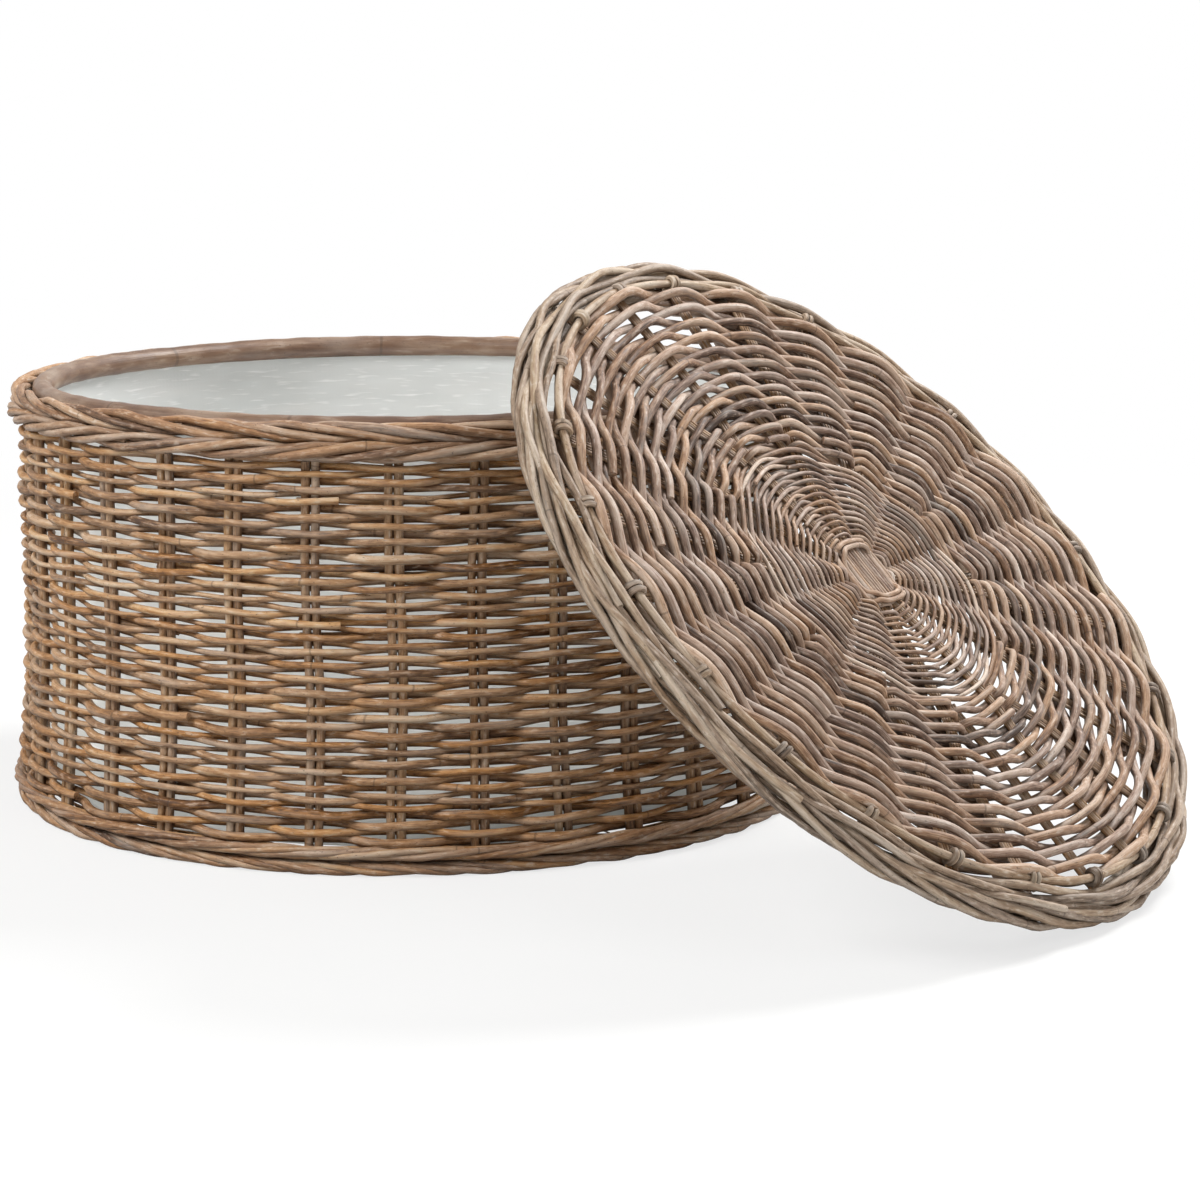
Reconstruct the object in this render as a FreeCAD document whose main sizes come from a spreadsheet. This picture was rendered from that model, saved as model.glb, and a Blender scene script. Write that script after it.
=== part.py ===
import FreeCAD, Part
import math
import os

# Round wicker storage table: a woven drum with a cloth liner, and its loose lid leaning on the rim.
# The origin is on the drum's axis at floor level, +Z is up and the lid leans towards +X.

doc = FreeCAD.newDocument("storage_table")

# Driving dimensions in millimetres and degrees
DRIVING = (
    ("wall_diameter", 720, "outside of the woven wall"),
    ("drum_height", 382, "floor to the top of the rim pole"),
    ("stake_pairs", 32, "upright pairs round the wall, an even number"),
    ("stake_diameter", 7.8, "one upright rod"),
    ("stake_gap", 0.5, "between the two rods of a pair"),
    ("first_stake_angle", 1.5, "first pair, turned from the lean direction"),
    ("weaver_thickness", 5.5, "wall weaver, through the wall"),
    ("course_count", 17, "courses up the wall, each one band for three rods"),
    ("rim_pole_diameter", 20, "hoop inside the mouth"),
    ("border_diameter", 18, "each of the two plaited rows at the top"),
    ("border_flare", 9, "lower top row stands proud of the wall"),
    ("foot_roll_diameter", 14, "plaited roll that the drum stands on"),
    ("foot_roll_flare", 8, "foot roll stands proud of the wall"),
    ("foot_flat", 0.5, "depth of the flat worn on the foot roll"),
    ("foot_border_diameter", 12, "plaited row above the foot roll"),
    ("foot_border_flare", 10, "that row stands proud of the wall"),
    ("base_pole_diameter", 12, "base hoop and the poles across it"),
    ("base_pole_spacing", 150, "between the poles across the base"),
    ("floor_thickness", 6, "woven floor panel"),
    ("liner_thickness", 2, "lining cloth with its backing"),
    ("clearance", 0.4, "between pieces that lie against each other"),
    ("lid_diameter", 692, "outside of the lid"),
    ("lid_thickness", 38, "lid rim roll"),
    ("lean_angle", 44.6, "lid tilted from flat"),
    ("lid_shift", 74, "lid's centre aside from the lean direction, towards -Y"),
    ("lid_hoop_diameter", 18, "hoop inside the rim roll"),
    ("lid_pole_diameter", 22, "poles under the lid"),
    ("lid_pole_spacing", 180, "between the poles under the lid"),
    ("long_spokes", 12, "spokes from the slath to the rim, an even number"),
    ("rods_per_spoke", 3, "thin rods side by side in a spoke"),
    ("spoke_rod_diameter", 3.4, "one of those rods"),
    ("slath_rods", 10, "rods in each bundle crossed at the lid's centre"),
    ("slath_length", 62, "length of those rods"),
    ("slath_angle", 0, "upper bundle, turned from the lean direction"),
    ("first_spoke_angle", 8.5, "first long spoke, turned from the lean direction"),
    ("lid_weaver_thickness", 5, "lid weaver, through the lid"),
    ("split_radius", 134, "where the short spokes begin"),
    ("inner_course_count", 7, "lid courses inside the split, each one band for three rods"),
    ("outer_course_count", 8, "lid courses outside the split, each one band for three rods"),
    ("ring_rod_diameter", 7, "rod bound on top of the spokes' ends"),
    ("binding_diameter", 3, "strand bound round the ring rod"),
)

sizes = doc.addObject("Spreadsheet::Sheet", "sizes")
for row, (alias, amount, meaning) in enumerate(DRIVING, start=1):
    sizes.set(f"A{row}", alias)
    sizes.set(f"B{row}", str(amount))
    sizes.set(f"C{row}", meaning)
    sizes.setAlias(f"B{row}", alias)
doc.recompute()

# Places and sizes that follow from the driving dimensions
FOLLOWING = (
    # Wall: the weavers pass outside and inside the stakes in turn
    ("weave_step", "sizes.stake_diameter / 2 + sizes.clearance + sizes.weaver_thickness / 2"),
    ("stake_circle", "sizes.wall_diameter / 2 - sizes.weaver_thickness / 2 - weave_step"),
    ("wall_inside", "stake_circle - weave_step - sizes.weaver_thickness / 2"),
    # Mouth: the rim pole lies inside the stakes, with the two border rows outside it
    ("rim_pole_radius", "sizes.rim_pole_diameter / 2"),
    ("rim_pole_circle", "stake_circle - sizes.stake_diameter / 2 - sizes.clearance - rim_pole_radius"),
    ("rim_pole_level", "sizes.drum_height - rim_pole_radius"),
    ("border_radius", "sizes.border_diameter / 2"),
    ("upper_border_circle", "rim_pole_circle + rim_pole_radius + sizes.clearance + border_radius"),
    ("upper_border_level", "sizes.drum_height - border_radius"),
    ("lower_border_circle", "sizes.wall_diameter / 2 + sizes.border_flare - border_radius"),
    ("border_offset", "lower_border_circle - upper_border_circle"),
    ("border_drop", "sqrt((sizes.border_diameter + sizes.clearance) ^ 2 - border_offset ^ 2)"),
    ("lower_border_level", "upper_border_level - border_drop"),
    ("wall_top", "lower_border_level - border_radius - sizes.clearance"),
    # Foot: a roll on the floor and one row above it
    ("foot_roll_radius", "sizes.foot_roll_diameter / 2"),
    ("foot_roll_circle", "sizes.wall_diameter / 2 + sizes.foot_roll_flare - foot_roll_radius"),
    ("foot_roll_level", "foot_roll_radius - sizes.foot_flat"),
    ("foot_border_radius", "sizes.foot_border_diameter / 2"),
    ("foot_border_circle", "sizes.wall_diameter / 2 + sizes.foot_border_flare - foot_border_radius"),
    ("foot_offset", "foot_border_circle - foot_roll_circle"),
    ("foot_reach", "foot_roll_radius + foot_border_radius + sizes.clearance"),
    ("foot_border_level", "foot_roll_level + sqrt(foot_reach ^ 2 - foot_offset ^ 2)"),
    ("foot_overhang", "max(0; foot_border_circle - sizes.wall_diameter / 2)"),
    ("foot_nest", "sqrt((foot_border_radius + sizes.clearance) ^ 2 - foot_overhang ^ 2)"),
    ("wall_bottom", "foot_border_level + foot_nest"),
    ("course_pitch", "(wall_top - wall_bottom) / sizes.course_count"),
    # Base: a hoop inside the foot roll, poles across it and the floor panel on top
    ("base_pole_radius", "sizes.base_pole_diameter / 2"),
    ("base_hoop_circle", "foot_roll_circle - foot_roll_radius - sizes.clearance - base_pole_radius"),
    ("base_pole_reach", "base_hoop_circle - base_pole_radius - sizes.clearance"),
    ("floor_level", "foot_roll_level + base_pole_radius + sizes.clearance"),
    ("floor_radius", "foot_roll_circle - foot_roll_radius"),
    ("liner_level", "floor_level + sizes.floor_thickness + sizes.clearance"),
    ("liner_radius", "wall_inside - sizes.clearance"),
    ("liner_bore", "liner_radius - sizes.liner_thickness"),
    ("liner_top", "rim_pole_level - rim_pole_radius - sizes.clearance"),
    # Lid, measured up from its underside
    ("rim_roll_radius", "sizes.lid_thickness / 2"),
    ("rim_roll_circle", "sizes.lid_diameter / 2 - rim_roll_radius"),
    ("lid_hoop_radius", "sizes.lid_hoop_diameter / 2"),
    ("lid_pole_radius", "sizes.lid_pole_diameter / 2"),
    ("lid_pole_reach", "rim_roll_circle - rim_roll_radius - sizes.clearance"),
    ("spoke_rod_radius", "sizes.spoke_rod_diameter / 2"),
    ("under_level", "sizes.lid_pole_diameter + sizes.clearance + sizes.lid_weaver_thickness / 2"),
    ("lid_weave_step", "sizes.lid_weaver_thickness / 2 + sizes.clearance + spoke_rod_radius"),
    ("spoke_level", "under_level + lid_weave_step"),
    ("spoke_rise", "spoke_level - spoke_rod_radius - rim_roll_radius"),
    ("spoke_end", "rim_roll_circle - sqrt((rim_roll_radius + sizes.clearance) ^ 2 - spoke_rise ^ 2)"),
    ("slath_level", "spoke_level + sizes.spoke_rod_diameter + sizes.clearance"),
    ("slath_width", "sizes.slath_rods * sizes.spoke_rod_diameter"),
    ("slath_reach", "sqrt(sizes.slath_length ^ 2 + slath_width ^ 2) / 2 + sizes.clearance"),
    ("ring_rod_level", "spoke_level + spoke_rod_radius + sizes.clearance + sizes.ring_rod_diameter / 2"),
    ("binding_radius", "sizes.binding_diameter / 2"),
    ("binding_circle", "sizes.ring_rod_diameter / 2 + sizes.clearance + binding_radius"),
    ("binding_reach", "binding_circle + binding_radius"),
    ("ring_rod_circle", "spoke_end - binding_reach"),
    ("corner_share", "cos(90 deg / sizes.long_spokes)"),
    ("outer_weave_start", "sizes.split_radius / corner_share + sizes.clearance"),
    ("outer_weave_end", "(ring_rod_circle - binding_reach - sizes.clearance) * corner_share"),
    # Lean: the lid's lowest edge is just off the floor and its underside just off the upper border
    ("lean_sine", "sin(sizes.lean_angle * 1 deg)"),
    ("lean_cosine", "cos(sizes.lean_angle * 1 deg)"),
    ("lean_rise", "rim_roll_circle * lean_sine + rim_roll_radius + sizes.clearance"),
    ("lid_z", "lean_rise - rim_roll_radius * lean_cosine"),
    ("rest_out", "upper_border_circle * lean_sine"),
    ("rest_up", "(upper_border_level - lid_z) * lean_cosine"),
    ("rest_gap", "border_radius + sizes.clearance"),
    ("lid_x", "(rest_out + rest_up + rest_gap) / lean_sine"),
    # The poles under the lid run so that the middle one crosses the place where the lid rests
    ("rest_run", "(lid_x - upper_border_circle) * lean_cosine + (upper_border_level - lid_z) * lean_sine"),
    ("lid_pole_turn", "atan(-sizes.lid_shift / rest_run) / 1 deg"),
)

places = doc.addObject("Spreadsheet::Sheet", "places")
for row, (alias, formula) in enumerate(FOLLOWING, start=1):
    places.set(f"A{row}", alias)
    places.set(f"B{row}", f"={formula}")
    places.setAlias(f"B{row}", alias)
doc.recompute()

nodes = []
UP = FreeCAD.Vector(0, 0, 1)
ACROSS = FreeCAD.Vector(0, 1, 0)
QUARTER_TURN = 90
lid_rotation = FreeCAD.Rotation(ACROSS, float(sizes.lean_angle))
lid_origin = FreeCAD.Vector(float(places.lid_x), -float(sizes.lid_shift), float(places.lid_z))
lid_placement = FreeCAD.Placement(lid_origin, lid_rotation)


def keep(piece, label):
    """Names a finished sub-part and lists it for export."""
    piece.Label = label
    nodes.append(piece)
    return piece


def bind(piece, **formulas):
    """Binds properties to the sheets; a double underscore in a name stands for a dot."""
    for name, formula in formulas.items():
        piece.setExpression(name.replace("__", "."), formula)
    return piece


def lean(piece, height):
    """Places a hoop of the lid, given its height above the underside of the lid lying flat."""
    piece.Placement = lid_placement
    return bind(
        piece,
        Placement__Base__x=f"places.lid_x + {height} * places.lean_sine",
        Placement__Base__y="-sizes.lid_shift",
        Placement__Base__z=f"places.lid_z + {height} * places.lean_cosine",
        Placement__Rotation__Angle="sizes.lean_angle * 1 deg",
    )


def ring(name, circle, radius):
    """A hoop of round section about its own Z axis."""
    return bind(doc.addObject("Part::Torus", name), Radius1=circle, Radius2=radius)


def drum_ring(label, circle, radius, level):
    """A hoop round the drum's axis."""
    return bind(ring(label, circle, radius), Placement__Base__z=level)


def disc(name, radius, thickness, level):
    """A round plate on the drum's axis."""
    plate = bind(doc.addObject("Part::Cylinder", name), Radius=radius, Height=thickness)
    return bind(plate, Placement__Base__z=level)


def difference(name, base, tool):
    """Cuts one object out of another."""
    cut = doc.addObject("Part::Cut", name)
    cut.Base = base
    cut.Tool = tool
    return cut


def built(label, shape, placement=FreeCAD.Placement()):
    """A sub-part whose shape is worked out below from the sheets."""
    piece = doc.addObject("Part::Feature", label)
    piece.Shape = shape
    piece.Placement = placement
    return keep(piece, label)


def size(name):
    """A driving dimension as a number."""
    return float(getattr(sizes, name))


def place(name):
    """A following dimension as a number."""
    return float(getattr(places, name))


def direction(angle):
    """Unit vector in the XY plane at an angle in degrees."""
    return FreeCAD.Vector(math.cos(math.radians(angle)), math.sin(math.radians(angle)), 0)


def rod(start, along, length, diameter):
    """A straight round rod."""
    return Part.makeCylinder(diameter / 2, length, start, along)


def offset_loop(points, distance):
    """Moves a closed loop of points outwards with mitred corners."""
    moved = []
    for before, point, after in zip(points[-1:] + points[:-1], points, points[1:] + points[:1]):
        arriving = (point - before).normalize().cross(UP)
        leaving = (after - point).normalize().cross(UP)
        mitre = (arriving + leaving) * (distance / (1 + arriving.dot(leaving)))
        moved.append(point + mitre)
    return moved


def closed_wire(points):
    """A closed wire of straight edges."""
    return Part.makePolygon(points + points[:1])


# Wall: upright stakes in pairs
stake_count = round(size("stake_pairs"))
stake_step = 360 / stake_count
pair_offset = (size("stake_diameter") + size("stake_gap")) / 2
stake_length = place("wall_top") - place("wall_bottom")
stakes = []
for pair in range(stake_count):
    outward = direction(size("first_stake_angle") + pair * stake_step)
    sideways = UP.cross(outward)
    middle = outward * place("stake_circle") + UP * place("wall_bottom")
    for side in (-1, 1):
        foot = middle + sideways * (side * pair_offset)
        stakes.append(rod(foot, UP, stake_length, size("stake_diameter")))
built("wall_stakes", Part.makeCompound(stakes))


# Wall courses: bands that pass outside one pair of stakes and inside the next
def wall_course(first_side):
    """One woven course; first_side is 1 where it passes outside the first pair."""
    half_pass = size("stake_diameter") + size("stake_gap") / 2 + size("clearance")
    path = []
    for pair in range(stake_count):
        outward = direction(size("first_stake_angle") + pair * stake_step)
        sideways = UP.cross(outward)
        side = first_side if pair % 2 == 0 else -first_side
        middle = outward * (place("stake_circle") + side * place("weave_step"))
        path.append(middle - sideways * half_pass)
        path.append(middle + sideways * half_pass)
    half_thickness = size("weaver_thickness") / 2
    outside = closed_wire(offset_loop(path, half_thickness))
    inside = closed_wire(offset_loop(path, -half_thickness))
    band = Part.makeFace([outside, inside], "Part::FaceMakerBullseye")
    return band.extrude(UP * (place("course_pitch") - size("clearance")))


course_shapes = (wall_course(1), wall_course(-1))
for course in range(round(size("course_count"))):
    course_base = UP * (place("wall_bottom") + course * place("course_pitch"))
    shape = course_shapes[course % 2].copy()
    built(f"wall_course_{course + 1:02d}", shape, FreeCAD.Placement(course_base, FreeCAD.Rotation()))

# Mouth: rim pole and the two plaited border rows
keep(drum_ring("rim_pole", "places.rim_pole_circle", "places.rim_pole_radius", "places.rim_pole_level"),
     "rim_pole")
keep(drum_ring("top_border_upper", "places.upper_border_circle", "places.border_radius",
               "places.upper_border_level"), "top_border_upper")
keep(drum_ring("top_border_lower", "places.lower_border_circle", "places.border_radius",
               "places.lower_border_level"), "top_border_lower")

# Foot: the row above, and the roll worn flat where it stands
keep(drum_ring("foot_border", "places.foot_border_circle", "places.foot_border_radius",
               "places.foot_border_level"), "foot_border")
whole_roll = drum_ring("whole_foot_roll", "places.foot_roll_circle", "places.foot_roll_radius",
                       "places.foot_roll_level")
ground = disc("ground", "sizes.wall_diameter", "sizes.foot_roll_diameter", "-sizes.foot_roll_diameter")
keep(difference("foot_roll", whole_roll, ground), "foot_roll")

# Base: hoop, three poles across it and the floor panel
keep(drum_ring("base_hoop", "places.base_hoop_circle", "places.base_pole_radius",
               "places.foot_roll_level"), "base_hoop")
for number, step in enumerate((-1, 0, 1), start=1):
    pole = doc.addObject("Part::Cylinder", f"base_pole_{number}")
    pole.Placement = FreeCAD.Placement(FreeCAD.Vector(), FreeCAD.Rotation(ACROSS, QUARTER_TURN))
    side_reach = f"({abs(step)} * sizes.base_pole_spacing + places.base_pole_radius)"
    half_length = f"sqrt(places.base_pole_reach ^ 2 - {side_reach} ^ 2)"
    bind(pole, Radius="places.base_pole_radius", Height=f"2 * {half_length}",
         Placement__Base__x=f"-{half_length}", Placement__Base__y=f"{step} * sizes.base_pole_spacing",
         Placement__Base__z="places.foot_roll_level")
    keep(pole, f"base_pole_{number}")
floor_panel = disc("floor_panel", "places.floor_radius", "sizes.floor_thickness", "places.floor_level")
keep(floor_panel, "floor_panel")

# Liner: wall and floor of the cloth lining
liner_outside = disc("liner_outside", "places.liner_radius", "places.liner_top - places.liner_level",
                     "places.liner_level")
liner_inside = disc("liner_inside", "places.liner_bore", "places.liner_top", "places.liner_level")
keep(difference("liner_wall", liner_outside, liner_inside), "liner_wall")
keep(disc("liner_floor", "places.liner_bore - sizes.clearance", "sizes.liner_thickness",
          "places.liner_level"), "liner_floor")

# Lid rim: a plaited roll round a hoop, and the ring rod bound on top of the spokes
roll_outside = lean(ring("roll_outside", "places.rim_roll_circle", "places.rim_roll_radius"),
                    "places.rim_roll_radius")
roll_inside = lean(ring("roll_inside", "places.rim_roll_circle", "places.lid_hoop_radius + sizes.clearance"),
                   "places.rim_roll_radius")
keep(difference("lid_rim_roll", roll_outside, roll_inside), "lid_rim_roll")
keep(lean(ring("lid_hoop", "places.rim_roll_circle", "places.lid_hoop_radius"), "places.rim_roll_radius"),
     "lid_hoop")
keep(lean(ring("lid_ring_rod", "places.ring_rod_circle", "sizes.ring_rod_diameter / 2"),
          "places.ring_rod_level"), "lid_ring_rod")

# Lid underside: three poles, the middle one lying on the drum's rim
pole_heading = FreeCAD.Placement(FreeCAD.Vector(), FreeCAD.Rotation(UP, place("lid_pole_turn")))
for number, step in enumerate((-1, 0, 1), start=1):
    pole = doc.addObject("Part::Cylinder", f"lid_pole_{number}")
    side_reach = f"({abs(step)} * sizes.lid_pole_spacing + places.lid_pole_radius)"
    half_length = f"sqrt(places.lid_pole_reach ^ 2 - {side_reach} ^ 2)"
    bind(pole, Radius="places.lid_pole_radius", Height=f"2 * {half_length}")
    doc.recompute()
    start = FreeCAD.Vector(-pole.Height.Value / 2, step * size("lid_pole_spacing"), place("lid_pole_radius"))
    lying = FreeCAD.Placement(start, FreeCAD.Rotation(ACROSS, QUARTER_TURN))
    pole.Placement = lid_placement.multiply(pole_heading).multiply(lying)
    keep(pole, f"lid_pole_{number}")


# Lid centre: two bundles of rods crossed over each other
def slath_bundle(angle, level):
    """Rods side by side through the lid's centre."""
    along = direction(angle)
    sideways = UP.cross(along)
    rods = []
    for number in range(round(size("slath_rods"))):
        offset = (number + 0.5) * size("spoke_rod_diameter") - place("slath_width") / 2
        start = sideways * offset - along * (size("slath_length") / 2) + UP * level
        rods.append(rod(start, along, size("slath_length"), size("spoke_rod_diameter") - rod_relief))
    return Part.makeCompound(rods)


rod_relief = size("clearance") / 2
slath_angle = size("slath_angle")
built("lid_slath_upper", slath_bundle(slath_angle, place("slath_level")), lid_placement)
built("lid_slath_lower", slath_bundle(slath_angle + QUARTER_TURN, place("spoke_level")), lid_placement)

# Lid spokes: long ones from the slath, short ones between them from the split
long_count = round(size("long_spokes"))
spoke_count = 2 * long_count
spoke_step = 360 / spoke_count
rods_in_spoke = round(size("rods_per_spoke"))
spoke_half_width = rods_in_spoke * size("spoke_rod_diameter") / 2


def spoke(number, start_radius):
    """Thin rods side by side, from start_radius to the rim roll."""
    outward = direction(size("first_spoke_angle") + number * spoke_step)
    sideways = UP.cross(outward)
    end_radius = math.sqrt(place("spoke_end") ** 2 - spoke_half_width ** 2)
    rods = []
    for position in range(rods_in_spoke):
        offset = (position + 0.5) * size("spoke_rod_diameter") - spoke_half_width
        start = outward * start_radius + sideways * offset + UP * place("spoke_level")
        rods.append(rod(start, outward, end_radius - start_radius, size("spoke_rod_diameter") - rod_relief))
    return rods


long_rods = []
short_rods = []
for number in range(0, spoke_count, 2):
    long_rods.extend(spoke(number, place("slath_reach")))
    short_rods.extend(spoke(number + 1, size("split_radius") + size("clearance")))
built("lid_long_spokes", Part.makeCompound(long_rods), lid_placement)
built("lid_short_spokes", Part.makeCompound(short_rods), lid_placement)


# Lid courses: flat bands that pass over one spoke and under the next
def lid_course(inner_radius, outer_radius, crossings, first_side):
    """One woven band of the lid; first_side is 1 where it passes over the first spoke."""
    step = 360 / crossings
    half_pass = spoke_half_width + size("clearance")
    half_chord = inner_radius * math.sin(math.radians(step / 2))
    half_slope = (half_chord - half_pass) * math.cos(math.radians(step / 2))
    half_thickness = size("lid_weaver_thickness") / 2
    corners = []
    for crossing in range(crossings):
        side = first_side if crossing % 2 == 0 else -first_side
        level = place("spoke_level") + side * place("lid_weave_step")
        for edge in (-1, 1):
            outward = direction(size("first_spoke_angle") + (crossing + edge / 2) * step)
            sideways = UP.cross(outward) * (-edge * half_slope)
            section = []
            around = ((inner_radius, -1), (outer_radius, -1), (outer_radius, 1), (inner_radius, 1))
            for radius, rise in around:
                section.append(outward * radius + sideways + UP * (level + rise * half_thickness))
            corners.append(section)
    faces = []
    for section, following in zip(corners, corners[1:] + corners[:1]):
        for index in range(len(section)):
            beside = (index + 1) % len(section)
            quad = [section[index], section[beside], following[beside], following[index]]
            faces.append(Part.Face(closed_wire(quad)))
    return Part.Solid(Part.Shell(faces))


def lid_courses(start, end, count, crossings, first_number):
    """A run of courses from one radius to another."""
    pitch = (end - start) / count
    for course in range(count):
        inner_radius = start + course * pitch
        shape = lid_course(inner_radius, inner_radius + pitch - size("clearance"), crossings,
                           1 if course % 2 == 0 else -1)
        built(f"lid_course_{first_number + course:02d}", shape, lid_placement)


inner_count = round(size("inner_course_count"))
outer_count = round(size("outer_course_count"))
lid_courses(place("slath_reach"), size("split_radius"), inner_count, long_count, 1)
lid_courses(place("outer_weave_start"), place("outer_weave_end"), outer_count, spoke_count, inner_count + 1)

# Lid bindings: one turn round the ring rod on each side of every spoke
binding_offset = math.degrees((spoke_half_width + size("clearance") + place("binding_radius"))
                              / place("ring_rod_circle"))
bindings = []
for number in range(spoke_count):
    for side in (-1, 1):
        angle = size("first_spoke_angle") + number * spoke_step + side * binding_offset
        centre = direction(angle) * place("ring_rod_circle") + UP * place("ring_rod_level")
        bindings.append(Part.makeTorus(place("binding_circle"), place("binding_radius"), centre,
                                       UP.cross(direction(angle))))
built("lid_bindings", Part.makeCompound(bindings), lid_placement)

# Every object has to be sound before any file is written
doc.recompute()
for item in doc.Objects:
    if "Invalid" in item.State or "Error" in item.State:
        raise RuntimeError(f"{item.Label} did not recompute: {item.State}")
for piece in nodes:
    if piece.Shape.isNull() or not piece.Shape.isValid() or not piece.Shape.Solids:
        raise RuntimeError(f"{piece.Label} has no sound solid")

os.makedirs("parts", exist_ok=True)
for piece in nodes:
    piece.Shape.exportStep(f"parts/{piece.Label}.step")
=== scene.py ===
"""Dresses the round storage table: a woven rattan drum with a cloth lining, and its loose woven lid.

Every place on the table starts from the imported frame, in metres. The lid's panel and rim are made in
the lid's own axes, with x downhill and z square to the panel, and are then set at its lean.
"""

import logging
import math
from collections import defaultdict
from collections.abc import Callable, Sequence
from dataclasses import dataclass, field, replace
from enum import Enum

import bpy
import numpy as np
from bpy.types import Camera, Light, Material, Mesh, Node, NodeSocket, NodeTree, Object
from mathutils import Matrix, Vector


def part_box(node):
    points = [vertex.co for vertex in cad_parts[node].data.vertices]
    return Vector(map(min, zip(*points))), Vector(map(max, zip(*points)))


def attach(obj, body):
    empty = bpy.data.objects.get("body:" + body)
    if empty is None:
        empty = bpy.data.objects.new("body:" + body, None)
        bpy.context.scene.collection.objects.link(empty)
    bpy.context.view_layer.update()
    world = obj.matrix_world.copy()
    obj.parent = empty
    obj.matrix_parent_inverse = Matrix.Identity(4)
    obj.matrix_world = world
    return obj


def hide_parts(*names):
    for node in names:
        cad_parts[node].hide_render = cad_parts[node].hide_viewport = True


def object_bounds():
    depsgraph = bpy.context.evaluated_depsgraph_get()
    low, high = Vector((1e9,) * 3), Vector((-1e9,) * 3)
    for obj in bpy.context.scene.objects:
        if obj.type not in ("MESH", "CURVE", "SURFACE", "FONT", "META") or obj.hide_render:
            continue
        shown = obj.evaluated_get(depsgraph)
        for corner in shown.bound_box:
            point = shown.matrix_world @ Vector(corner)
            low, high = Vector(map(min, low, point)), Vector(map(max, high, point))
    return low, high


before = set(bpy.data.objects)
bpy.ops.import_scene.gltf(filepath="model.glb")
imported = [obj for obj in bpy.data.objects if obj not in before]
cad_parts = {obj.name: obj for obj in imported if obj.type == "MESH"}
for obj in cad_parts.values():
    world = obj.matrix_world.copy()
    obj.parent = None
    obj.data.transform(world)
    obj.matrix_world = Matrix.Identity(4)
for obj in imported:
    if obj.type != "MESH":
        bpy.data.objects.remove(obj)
CAD_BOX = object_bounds()

logger = logging.getLogger("storage_table")

Array = np.ndarray
Colour = tuple[float, float, float, float]
Range = tuple[float, float]
Value = NodeSocket | float | tuple[float, ...]

MM = 0.001
FULL_TURN = 2 * math.pi
UP = np.array((0.0, 0.0, 1.0))
WHITE = (1.0, 1.0, 1.0, 1.0)
EXPORT_MAP = "OFBake"
LID_EDGE_SHIFT = 11 * MM

# Angle that a wave texture of scale 1 runs through in a metre
WAVE_RADIANS = 20.0

# Corners of a rod's section
THIN_SIDES = 6
ROD_SIDES = 8
EDGE_SIDES = 10
POLE_SIDES = 14


class Body(Enum):
    """The two bodies that pieces ride on."""

    DRUM = "drum"
    LID = "lid"


class Slot(Enum):
    """The record's material slots."""

    POLE = "rattan_pole"
    STAKE = "rattan_stake"
    PLAIT = "rattan_plait"
    WEAVER = "rattan_weaver"
    CLOTH = "lining_cloth"


class Hand(Enum):
    """Which way a twisted strand goes as it runs to the right, seen from outside."""

    RISING = 1
    FALLING = -1


# Directions, angles and drifts

def unit(vectors: Array) -> Array:
    """Brings vectors to a length of one."""
    return vectors / np.linalg.norm(vectors, axis=-1, keepdims=True)


def middle_of(points: Array) -> Array:
    """Gives the middle of the points' box."""
    return (points.max(axis=0) + points.min(axis=0)) / 2


def direction(angle: Array | float) -> Array:
    """Gives the level direction at each angle, one row for each."""
    angle = np.asarray(angle, float)
    return np.stack((np.cos(angle), np.sin(angle), np.zeros_like(angle)), axis=-1)


def even_angles(count: int, first: float = 0.0) -> Array:
    """Gives that many angles, evenly spaced round a turn."""
    return first + FULL_TURN * np.arange(count) / count


def round_axis(angle: Array | float, out: Array | float, level: Array | float) -> Array:
    """Gives points round the z axis by their angles, their distances out from it and their levels."""
    return direction(angle) * np.asarray(out)[..., None] + np.multiply.outer(level, UP)


def eased(share: Array | float) -> Array:
    """Goes from 0 to 1 with a soft start and a soft end."""
    share = np.clip(share, 0.0, 1.0)
    return share * share * (3 - 2 * share)


@dataclass(frozen=True)
class Drift:
    """A slow drift: waves of these lengths that add up, to about this size each way."""

    lengths: tuple[float, ...]
    size: float

    def along(self, run: Array, random: np.random.Generator) -> Array:
        """Draws one drift.

        Args:
            run: Distance along the rod.
            random: The seeded source.

        Returns:
            The drift at each point of the run.
        """
        drift = np.zeros_like(run)
        for length in self.lengths:
            drift += np.sin(FULL_TURN * (run / length + random.random()))
        return drift * self.size / math.sqrt(max(1, len(self.lengths)))


STEADY = Drift((), 0.0)


# Reading the frame

def node_points(name: str) -> Array:
    """Reads a solid's corner points.

    Args:
        name: The node's name.

    Returns:
        One row of x, y and z for each point.
    """
    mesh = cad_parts[name].data
    flat = np.empty(len(mesh.vertices) * 3)
    mesh.vertices.foreach_get("co", flat)
    return flat.reshape(-1, 3)


def numbered(stem: str) -> list[str]:
    """Lists the nodes named stem and a number, in order."""
    return sorted(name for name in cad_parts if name.startswith(stem))


@dataclass(frozen=True)
class Hoop:
    """A hoop round the z axis: its circle, the radius of its section and the level of its middle."""

    circle: float
    section: float
    level: float

    @classmethod
    def of(cls, points: Array) -> "Hoop":
        """Measures the hoop that the points lie on.

        Args:
            points: Points of a ring round the z axis, with its round top whole.

        Returns:
            The hoop.
        """
        reach = np.hypot(points[:, 0], points[:, 1])
        section = (reach.max() - reach.min()) / 2
        return cls(reach.max() - section, section, points[:, 2].max() - section)


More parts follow.
